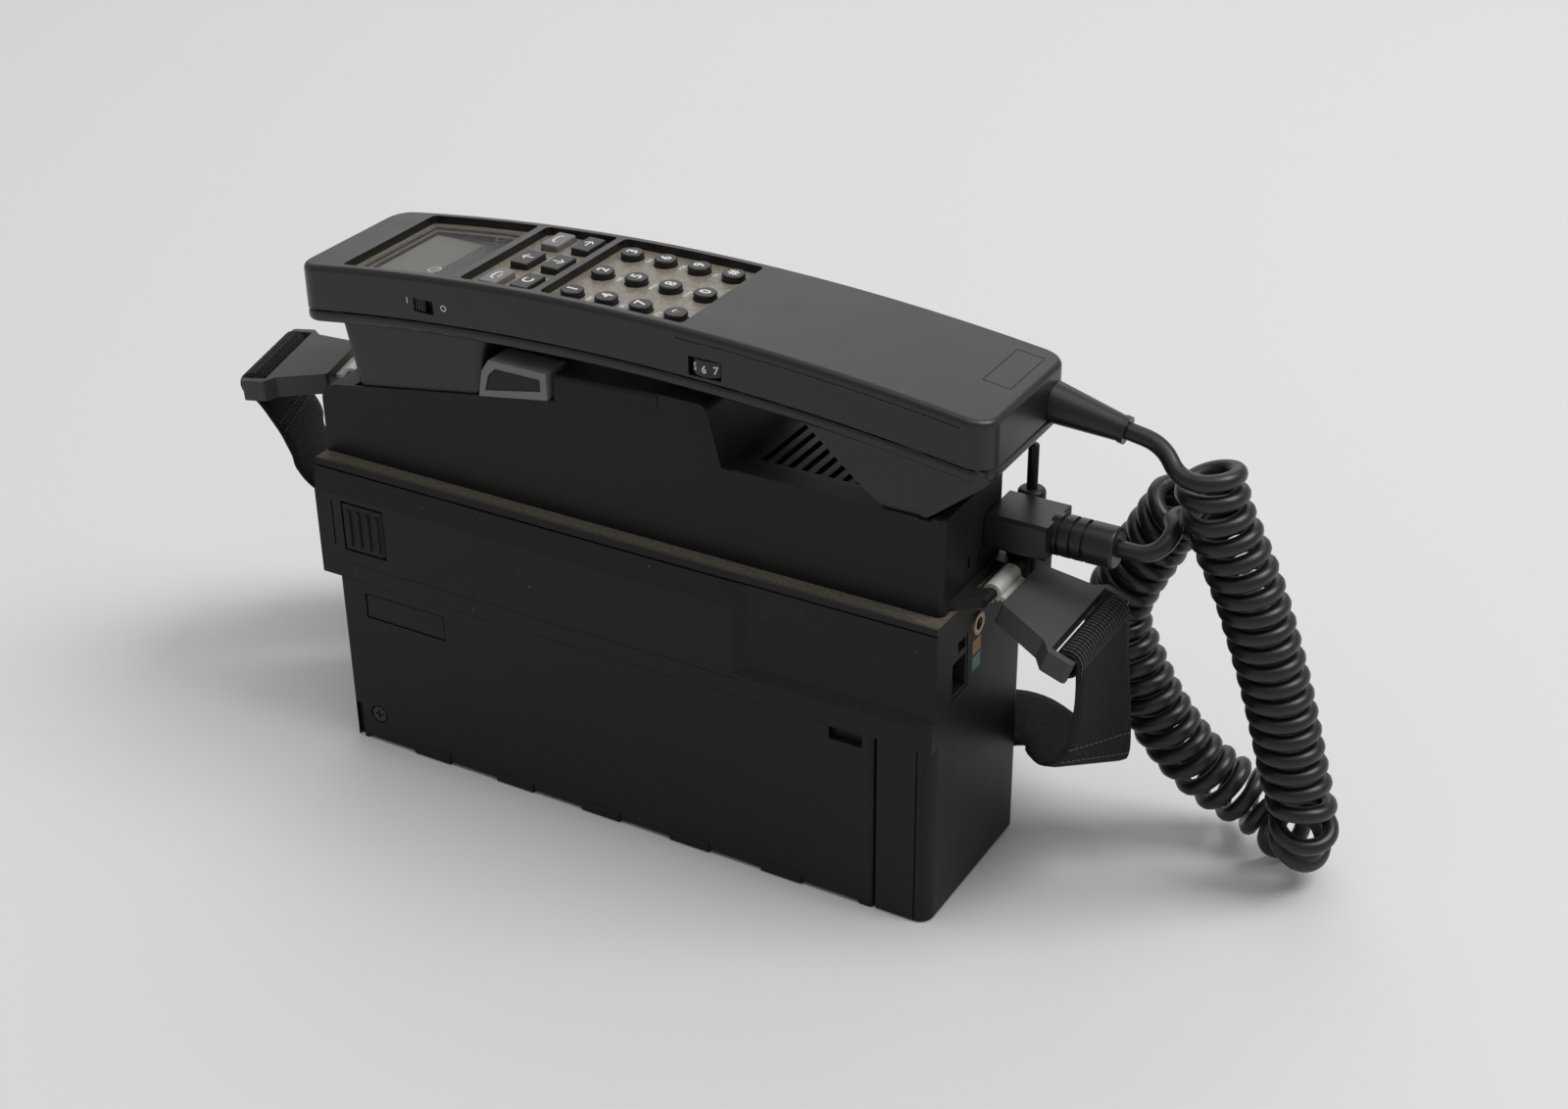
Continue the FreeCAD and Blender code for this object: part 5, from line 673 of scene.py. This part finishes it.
strap_left = strap("strap_left", BAR_LEFT, BAR_TURN_LEFT, left)
strap_right = strap("strap_right", BAR_RIGHT, 0.0, right)
for piece, node in ((strap_left, "webbing_left"), (strap_right, "webbing_right")):
    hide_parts(node)
LEFT_BEND[0]
LEFT_BEND[1]
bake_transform(strap_left)
RIGHT_BEND[0]
RIGHT_BEND[1]
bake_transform(strap_right)
print("strap faces:", len(strap_left.data.polygons), len(strap_right.data.polygons))

# %% [markdown]
# ## Printed symbols
# The symbols on the keys are white print. Each is a text curve made into a flat mesh, then laid on
# the surface under it: a ray finds the surface, so the print sits a hair above it. The text reads
# from the handset's mouth end, so its up is towards -X and its right is +Y.

# %% Text on surfaces
PRINT_LIFT, RAY_START, FOLLOW_LIMIT = 0.06 * MM, 4 * MM, 1.5 * MM
CAPITAL_SHARE = 0.70
DOWN = (0, 0, -1)
TOP_TURN = Matrix(((0, -1, 0), (1, 0, 0), (0, 0, 1)))
FRONT_TURN = Matrix(((1, 0, 0), (0, 0, -1), (0, 1, 0)))
SIDE_TURN = Matrix(((0, 0, 1), (1, 0, 0), (0, 1, 0)))
print_white = plain("print_white", (0.62, 0.61, 0.58, 1), 0.55)


def text_mesh(text, height, bold):
    """A flat mesh of centred text. Its capitals' height and added weight are in millimetres."""
    curve = bpy.data.curves.new("text", "FONT")
    curve.body = text
    curve.size = height * MM / CAPITAL_SHARE
    curve.align_x = "CENTER"
    curve.offset = bold * MM
    curve.resolution_u = 3
    maker = new_object("text", curve)
    bpy.context.view_layer.update()
    mesh = bpy.data.meshes.new_from_object(maker)
    bpy.data.objects.remove(maker)
    bm = bmesh.new()
    bm.from_mesh(mesh)
    bmesh.ops.triangulate(bm, faces=bm.faces)
    for _ in range(2):
        long = [e for e in bm.edges if e.calc_length() > height * MM * 0.22]
        bmesh.ops.subdivide_edges(bm, edges=long, cuts=1)
        bmesh.ops.triangulate(bm, faces=bm.faces)
    bm.to_mesh(mesh)
    bm.free()
    heights = [v.co.y for v in mesh.vertices]
    mesh.transform(Matrix.Translation((0, -(min(heights) + max(heights)) / 2, 0)))
    return mesh


def lay(name, mesh, node, origin, way, turn, body, finish):
    """Moves a flat mesh onto a piece's surface, follows its curve, and rides with a body."""
    way = Vector(way)
    hit, point, _, _ = nodes[node].ray_cast(Vector(origin), way)
    if not hit:
        print("no surface under a print on", node)
        point = Vector(origin)
    mesh.transform(Matrix.Translation(point) @ turn.to_4x4())
    for vertex in mesh.vertices:
        hit, at, _, _ = nodes[node].ray_cast(vertex.co - way * RAY_START, way)
        if hit and (at - vertex.co).length < FOLLOW_LIMIT:
            vertex.co = at
        vertex.co -= way * PRINT_LIFT
    made = add(name, mesh, finish, smooth=False)
    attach(made, body)
    return made


def over_key(node, shift=0.0):
    """A place just over the middle of a key, moved this far along X in millimetres."""
    low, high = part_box(node)
    return (low.x + high.x) / 2 + shift * MM, (low.y + high.y) / 2, high.z + MM


def key_print(node, mesh):
    """A white print on a key's top."""
    lay(f"{node}_symbol", mesh, node, over_key(node), DOWN, TOP_TURN, "button_" + node, print_white)


print("capitals take", CAPITAL_SHARE, "of the letter size")

# %% [markdown]
# ## Keys
# Each key has its digit, and the handset's plate has a letter group beside it. The digits are
# bold, the letters small.

# %% Digits and letter groups
DIGIT_HEIGHT, CLEAR_HEIGHT, DIGIT_BOLD = 3.4, 3.2, 0.14
LETTER_HEIGHT, LETTER_BOLD, LETTER_SHIFT = 1.25, 0.05, 5.7
DIGITS = {f"key_{digit}": digit for digit in "123456789"}
DIGITS |= {"key_star": "*", "key_0": "0", "key_hash": "#"}
LETTERS = dict(zip(DIGITS, ("ABC", "DEF", "GHI", "JKL", "MNO", "PQR", "STU", "VWX", "YZ")))
for node, text in DIGITS.items():
    key_print(node, text_mesh(text, DIGIT_HEIGHT, DIGIT_BOLD))
for node, text in LETTERS.items():
    lay(f"{node}_letters", text_mesh(text, LETTER_HEIGHT, LETTER_BOLD), "handset_upper_shell",
        over_key(node, LETTER_SHIFT), DOWN, TOP_TURN, "handset", print_white)
key_print("clear_key", text_mesh("C", CLEAR_HEIGHT, DIGIT_BOLD))
print("key prints:", len(DIGITS) + len(LETTERS) + 1)

# %% [markdown]
# ## Drawn symbols
# Arrows, the lifted and the laid handset, and thin rings are not letters. Each is made of strokes
# along a few points, which one helper turns into a flat mesh.

# %% Strokes and shapes
def shape_mesh(rings):
    """A flat mesh of closed polygons given in millimetres, all turned the same way round."""
    points, faces = [], []
    for ring in rings:
        area = sum(a[0] * b[1] - b[0] * a[1] for a, b in zip(ring, ring[1:] + ring[:1]))
        faces.append(list(range(len(points), len(points) + len(ring))))
        points += [(x * MM, y * MM, 0.0) for x, y in (ring if area > 0 else ring[::-1])]
    mesh = bpy.data.meshes.new("shape")
    mesh.from_pydata(points, [], faces)
    return mesh


def stroke(points, width):
    """The quads of a line of this width through the points."""
    quads = []
    for (x0, y0), (x1, y1) in zip(points, points[1:]):
        length = math.hypot(x1 - x0, y1 - y0)
        nx, ny = -(y1 - y0) / length * width / 2, (x1 - x0) / length * width / 2
        quads.append([(x0 - nx, y0 - ny), (x1 - nx, y1 - ny),
                      (x1 + nx, y1 + ny), (x0 + nx, y0 + ny)])
    return quads


def ring_strokes(x, y, rx, ry, width, steps=24):
    """A closed thin ellipse as strokes."""
    angles = [2 * math.pi * i / steps for i in range(steps)]
    points = [(x + rx * math.cos(a), y + ry * math.sin(a)) for a in angles]
    return stroke(points + points[:1], width)


ARROW_UP = (stroke([(0, -1.9), (0, 1.5)], 0.55) + stroke([(-1.5, 0.2), (0, 1.8)], 0.55)
            + stroke([(1.5, 0.2), (0, 1.8)], 0.55))
ARROW_DOWN = [[(x, -y) for x, y in ring] for ring in ARROW_UP]
ARROW_RIGHT = [[(y, -x) for x, y in ring] for ring in ARROW_UP]
HANDSET_SYMBOL = stroke([(-2.4, -0.5), (-2.2, 0.4), (-1.2, 0.9),
                         (1.2, 0.9), (2.2, 0.4), (2.4, -0.5)], 0.7)
HANDSET_DOWN = HANDSET_SYMBOL + stroke([(-1.4, -1.2), (1.4, -1.2)], 0.4)
KEY_SYMBOLS = {"up_key": ARROW_UP, "down_key": ARROW_DOWN, "function_key": ARROW_RIGHT,
               "hook_key_end": HANDSET_DOWN, "hook_key_send": HANDSET_SYMBOL}
for node, rings in KEY_SYMBOLS.items():
    key_print(node, shape_mesh(rings))
print("drawn symbols:", len(KEY_SYMBOLS))

# %% [markdown]
# ## What the display and the switch show
# Behind the smoked window the display is a dull grey-beige field with faint ovals and dashes, and a
# dark strip at its inner end. The prints on the handset's front side mark the power switch's ends.

# %% Display and switch prints
def on_top(name, rings, node, x, y, finish):
    """Flat shapes in millimetres round a place on a piece's top, with X and Y as in the frame."""
    _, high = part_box(node)
    lay(name, shape_mesh(rings), node, (x * MM, y * MM, high.z + MM), DOWN,
        Matrix.Identity(3), "handset", finish)


faint = plain("display_faint", (0.075, 0.073, 0.066, 1), 0.5)
band_dark = plain("display_band", (0.012, 0.012, 0.012, 1), 0.4)
pale = plain("display_pale", (0.40, 0.39, 0.36, 1), 0.5)
strip = [[(-7.5, -18.5), (6.0, -18.5), (6.0, 18.5), (-7.5, 18.5)]]
ovals, dashes = [], []
for i in range(4):
    ovals += ring_strokes(0, -6 + 6.5 * i, 1.7, 2.3, 0.4)
for i in range(8):
    dashes += stroke([(0, -16 + 4.4 * i), (0, -14 + 4.4 * i)], 0.4)
sign = ring_strokes(0, 0, 1.9, 1.9, 0.45) + stroke([(-1.2, -1.2), (1.2, 1.2)], 0.45)
on_top("display_strip", strip, "display_module", -67.5, 3, band_dark)
on_top("display_ovals", ovals, "display_window", -66.0, 3, faint)
on_top("display_dashes", dashes, "display_window", -60.6, 3, pale)
on_top("display_sign", sign, "display_window", -70.0, -12, pale)

for name, text, x in (("switch_on", "I", -72.5), ("switch_off", "O", -59.4)):
    lay(name, text_mesh(text, 1.9, 0.03), "handset_upper_shell",
        (x * MM, -60 * MM, 157.0 * MM), (0, 1, 0), FRONT_TURN, "handset", print_white)
print("display quads:", len(strip + ovals + dashes + sign))

# %% [markdown]
# ## Marks on the badge recess, the wheel and the right side
# A dark line runs round the recess at the handset's end. The volume wheel has digits round its
# rim. The radio's right side has a small framed label and a pale rim round its jack.

# %% Outline, wheel digits and side label
RECESS_TILT = math.radians(7.8)
badge = [(-4.1, -11), (4.1, -11), (4.1, 11), (-4.1, 11)]
outline = plain("groove_dark", (0.004, 0.004, 0.004, 1), 0.6)
lay("end_recess_outline", shape_mesh(stroke(badge + badge[:1], 0.35)), "handset_upper_shell",
    (105.8 * MM, 11 * MM, 180 * MM), DOWN, Matrix.Rotation(RECESS_TILT, 3, "Y"), "handset", outline)

FIRST_DIGIT, DIGIT_STEP = -52, 26
low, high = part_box("volume_wheel")
middle = ((low.x + high.x) / 2, (low.y + high.y) / 2, (low.z + high.z) / 2)
wheel_radius = (high.y - low.y) / 2
for i, digit in enumerate("45678"):
    angle = math.radians(FIRST_DIGIT + DIGIT_STEP * i)
    way = Vector((-math.sin(angle), math.cos(angle), 0))
    origin = Vector(middle) - way * (wheel_radius + 3 * MM)
    turn = Matrix.Rotation(angle, 3, "Z") @ FRONT_TURN
    lay(f"wheel_digit_{digit}", text_mesh(digit, 2.2, 0.06), "volume_wheel", origin, way, turn,
        "wheel", print_white)

LABEL_X, LABEL_Y = 150 * MM, -3.0 * MM
LABEL_PARTS = (  # name, colour, half its width, half its height, middle height
    ("frame", (0.006, 0.006, 0.006, 1), 3.5, 5.7, 78.3),
    ("orange", (0.42, 0.22, 0.06, 1), 2.5, 2.2, 81.0),
    ("teal", (0.10, 0.25, 0.25, 1), 2.5, 2.2, 75.7),
)
for name, colour, wide, tall, z in LABEL_PARTS:
    ring = [(-wide, -tall), (wide, -tall), (wide, tall), (-wide, tall)]
    made = lay(f"side_label_{name}", shape_mesh([ring]), "radio_housing",
               (LABEL_X, LABEL_Y, z * MM), (-1, 0, 0), SIDE_TURN, "radio",
               plain("label_" + name, colour, 0.5))
    if name != "frame":
        made.data.transform(Matrix.Translation((PRINT_LIFT, 0, 0)))

low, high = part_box("headset_jack")
rim = shape_mesh(ring_strokes(0, 0, 3.0, 3.0, 0.7))
rim.transform(SIDE_TURN.to_4x4())
rim.transform(Matrix.Translation((high.x + PRINT_LIFT, (low.y + high.y) / 2,
                                  (low.z + high.z) / 2)))
jack_rim = add("jack_rim", rim, plain("jack_white", (0.55, 0.53, 0.50, 1), 0.5), smooth=False)
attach(jack_rim, "radio")
print("wheel digits: 5, label parts:", len(LABEL_PARTS))

# %% [markdown]
# ## Repeats with Geometry Nodes
# Three things repeat along a path or over a face: the stitches that hold each strap's turned end,
# the raised ribs of its wrap round the bar, and specks of dust on the tops. Two small trees with
# named inputs make them. Each result is turned into a plain mesh, so that it can move with a body.

# %% One builder for node trees
class Growth:
    """A Geometry Nodes tree under construction, with named number inputs."""

    def __init__(self, name, numbers):
        self.tree = bpy.data.node_groups.new(name, "GeometryNodeTree")
        face = self.tree.interface
        face.new_socket("Geometry", in_out="INPUT", socket_type="NodeSocketGeometry")
        face.new_socket("Geometry", in_out="OUTPUT", socket_type="NodeSocketGeometry")
        self.keys = {}
        for label, (kind, value) in numbers.items():
            made = face.new_socket(label, in_out="INPUT", socket_type=kind)
            made.default_value = value
            self.keys[label] = made.identifier
        self.start = self.tree.nodes.new("NodeGroupInput")
        self.end = self.tree.nodes.new("NodeGroupOutput")

    def node(self, kind, settings=None, inputs=None):
        """Adds a node; links are given as (node, output name)."""
        made = self.tree.nodes.new(kind)
        for key, value in (settings or {}).items():
            setattr(made, key, value)
        for key, value in (inputs or {}).items():
            if isinstance(value, tuple) and hasattr(value[0], "outputs"):
                self.tree.links.new(value[0].outputs[value[1]], made.inputs[key])
            else:
                made.inputs[key].default_value = value
        return made

    def finish(self, instances, material):
        """Ends the tree: realized instances with a material."""
        real = self.node("GeometryNodeRealizeInstances", None, {0: (instances, 0)})
        coat = self.node("GeometryNodeSetMaterial", None, {0: (real, 0), "Material": material})
        self.tree.links.new(coat.outputs[0], self.end.inputs[0])

    def grow(self, name, base, values):
        """The tree's result on a base object, as a plain mesh object at the origin."""
        modifier = base.modifiers.new(name, "NODES")
        modifier.node_group = self.tree
        for label, value in values.items():
            modifier[self.keys[label]] = value
        bpy.context.view_layer.update()
        mesh = bpy.data.meshes.new_from_object(
            base.evaluated_get(bpy.context.evaluated_depsgraph_get()))
        bpy.data.objects.remove(base)
        mesh.name = name
        return new_object(name, mesh)


def path_object(rows):
    """A mesh of edges through each row of points, in metres."""
    points, edges = [], []
    for row in rows:
        first = len(points)
        points += [tuple(p) for p in row]
        edges += [(first + i, first + i + 1) for i in range(len(row) - 1)]
    mesh = bpy.data.meshes.new("path")
    mesh.from_pydata(points, edges, [])
    return new_object("path", mesh)


thread = plain("thread_grey", (0.055, 0.053, 0.047, 1), 0.7)
stitches = Growth("stitches", {"Pitch": ("NodeSocketFloat", 0.003),
                               "Thread": ("NodeSocketFloat", 0.0003),
                               "Length": ("NodeSocketFloat", 0.002)})
curve = stitches.node("GeometryNodeMeshToCurve", None, {0: (stitches.start, "Geometry")})
spots = stitches.node("GeometryNodeResampleCurve", {"mode": "LENGTH"},
                      {"Curve": (curve, 0), "Length": (stitches.start, "Pitch")})
along = stitches.node("GeometryNodeInputTangent")
turned = stitches.node("FunctionNodeAlignRotationToVector", {"axis": "Z"}, {"Vector": (along, 0)})
rod = stitches.node("GeometryNodeMeshCylinder", {"fill_type": "NGON"},
                    {"Vertices": 6, "Radius": (stitches.start, "Thread"),
                     "Depth": (stitches.start, "Length")})
placed = stitches.node("GeometryNodeInstanceOnPoints", None,
                       {"Points": (spots, 0), "Instance": (rod, 0), "Rotation": (turned, 0)})
stitches.finish(placed, thread)
print("nodes in the stitches tree:", len(stitches.tree.nodes))

# %% [markdown]
# ## Seams and wrapped ends
# Two rows of stitches cross each strap under its clip. Where the webbing bends over its bar, its
# raised yarns show as short ribs, so the same tree lays thicker rods there.

# %% Stitches and wrap ribs on the straps
SEAM_INSET, SEAM_STEPS = 2.0, 18
RIB_COUNT, RIB_REACH, RIB_LIFT, RIB_POINTS = 22, 16.2, 0.95, 7


def seam(name, pairs, i, bend):
    """One row of stitches across a strap."""
    (a, b), (c, d) = pairs[i], pairs[i + 1]
    lift = (c + d - a - b).cross(b - a).normalized() * (STRAP_THICKNESS / 2 + 0.05)
    inset = (b - a).normalized() * SEAM_INSET
    row = [(a + inset).lerp(b - inset, k / SEAM_STEPS) * MM + lift * MM
           for k in range(SEAM_STEPS + 1)]
    made = stitches.grow(name, path_object([row]),
                         {"Pitch": 2.6 * MM, "Thread": 0.22 * MM, "Length": 1.7 * MM})
    bend[0]
    bend[1]
    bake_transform(made)


def wrap_ribs(name, bar, turn, body):
    """Short raised yarns where the webbing bends over its bar."""
    sideways = Matrix.Rotation(turn, 3, "Z") @ Vector((0, 1, 0))
    outward = Matrix.Rotation(turn, 3, "Z") @ Vector((1, 0, 0)) * (-1 if bar.x < 0 else 1)
    rows = []
    for k in range(RIB_COUNT):
        aside = sideways * (-RIB_REACH + k * 2 * RIB_REACH / (RIB_COUNT - 1))
        angles = [math.radians(100 - 24 * step) for step in range(RIB_POINTS)]
        rows.append([(bar + aside + (outward * math.cos(a) + Vector((0, 0, 1)) * math.sin(a))
                      * (LOOP_MIDDLE + RIB_LIFT)) * MM for a in angles])
    made = stitches.grow(name, path_object(rows),
                         {"Pitch": 1.5 * MM, "Thread": 0.3 * MM, "Length": 1.3 * MM})
    made.data.materials.clear()
    made.data.materials.append(plain(name + "_yarn", (0.045, 0.044, 0.040, 1), 0.8))
    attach(made, body)


for k, i in enumerate((14, 17)):
    seam(f"seam_right_{k + 1}", right, i, RIGHT_BEND)
for k, i in enumerate((15, 18)):
    seam(f"seam_left_{k + 1}", left, i, LEFT_BEND)
wrap_ribs("wrap_ribs_right", BAR_RIGHT, 0.0, "right_clip")
wrap_ribs("wrap_ribs_left", BAR_LEFT, BAR_TURN_LEFT, "left_clip")
print("stitch rows: 4, ribs on each wrap:", RIB_COUNT)

# %% [markdown]
# ## Specks of dust
# A second tree scatters tiny grains on the faces that a test keeps, with a fixed seed.

# %% Specks of dust
speck_finish = plain("dust_speck", (0.34, 0.31, 0.26, 1), 0.9)
specks = Growth("specks", {"Density": ("NodeSocketFloat", 3000.0), "Seed": ("NodeSocketInt", 3),
                           "Size": ("NodeSocketFloat", 0.0002)})
spread = specks.node("GeometryNodeDistributePointsOnFaces", None,
                     {"Mesh": (specks.start, "Geometry"), "Density": (specks.start, "Density"),
                      "Seed": (specks.start, "Seed")})
grain = specks.node("GeometryNodeMeshIcoSphere", None, {"Radius": (specks.start, "Size")})
size = specks.node("FunctionNodeRandomValue", {"data_type": "FLOAT"}, {2: 0.25, 3: 1.0, "Seed": 5})
dots = specks.node("GeometryNodeInstanceOnPoints", None,
                   {"Points": (spread, 0), "Instance": (grain, 0), "Scale": (size, 1)})
specks.finish(dots, speck_finish)


def dusting(name, node, body, keep, density, seed):
    """Specks on those faces of a CAD piece that the test keeps."""
    bm = bmesh.new()
    bm.from_mesh(nodes[node].data)
    bmesh.ops.delete(bm, geom=[f for f in bm.faces if not keep(f)], context="FACES")
    base = bpy.data.meshes.new("patch")
    bm.to_mesh(base)
    bm.free()
    made = specks.grow(name, new_object("patch", base),
                       {"Density": density, "Seed": seed, "Size": 0.16 * MM})
    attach(made, body)
    print(name, "faces:", len(made.data.polygons))


dusting("specks_handset", "handset_upper_shell", "handset",
        lambda f: f.normal.z > 0.8 and f.calc_center_median().z > 0.158, 6000.0, 11)
dusting("specks_radio", "radio_housing", "radio",
        lambda f: f.normal.y < -0.3 or f.normal.z > 0.8, 2500.0, 12)

# %% [markdown]
# ## Floor and light
# A pale floor fills the whole view, because the camera looks down at about 29 degrees. The room's
# light is soft and even. A wide lamp high at the right makes the soft shadow on the left, and two
# weaker ones light the tops and the rear edges.

# %% Stage
bpy.context.scene.view_settings.view_transform = "Standard"
floor_mesh = bpy.data.meshes.new("floor")
floor_mesh.from_pydata([(-4, -4, 0), (4, -4, 0), (4, 6, 0), (-4, 6, 0)], [], [(0, 1, 2, 3)])
floor = add("floor", floor_mesh, plain("floor_pale", (0.655, 0.640, 0.628, 1), 0.8), smooth=False)

world = bpy.data.worlds.new("room")
bpy.context.scene.world = world
world.use_nodes = True
world.node_tree.nodes["Background"].inputs["Color"].default_value = (0.97, 0.97, 1.0, 1)
world.node_tree.nodes["Background"].inputs["Strength"].default_value = 0.42


def lamp(name, place, target, size, power):
    """A square area lamp that looks at a target, in metres."""
    light = bpy.data.lights.new(name, "AREA")
    light.shape = "SQUARE"
    light.size = size
    light.energy = power
    made = new_object(name, light)
    made.location = place
    made.rotation_mode = "QUATERNION"
    made.rotation_quaternion = (Vector(target) - Vector(place)).to_track_quat("-Z", "Y")


lamp("key_lamp", (1.9, 0.7, 3.1), (0, 0, 0.05), 1.8, 78)
lamp("top_lamp", (0.2, -0.3, 2.6), (0, 0, 0.05), 2.0, 15)
lamp("rear_lamp", (-0.9, 1.9, 1.5), (0, 0, 0.1), 2.2, 12)
print("lamps:", len(bpy.data.lights))

# %% [markdown]
# ## The photograph's viewpoint
# The camera stands in front on the right and looks down. Its place, direction and lens were
# solved from the edges of the body.

# %% Camera
CAMERA_PLACE = Vector((343.2, -524.4, 432.2)) * MM
AZIMUTH, ELEVATION, ROLL = (math.radians(v) for v in (30.017, 29.373, -0.595))
LENS, SENSOR = 54.79, 36.0
forward = Vector((-math.sin(AZIMUTH) * math.cos(ELEVATION), math.cos(AZIMUTH) * math.cos(ELEVATION),
                  -math.sin(ELEVATION)))
level = Vector((math.cos(AZIMUTH), math.sin(AZIMUTH), 0))
upright = level.cross(forward)
right_way = level * math.cos(ROLL) + upright * math.sin(ROLL)
up_way = -level * math.sin(ROLL) + upright * math.cos(ROLL)
camera = new_object("camera", bpy.data.cameras.new("camera"))
camera.matrix_world = Matrix.Translation(CAMERA_PLACE) @ Matrix(
    (right_way, up_way, -forward)).transposed().to_4x4()
camera.data.lens = LENS
camera.data.sensor_width = SENSOR
camera.data.clip_start, camera.data.clip_end = 0.01, 20
bpy.context.scene.camera = camera
print("camera at, mm:", [round(v / MM, 1) for v in CAMERA_PLACE])
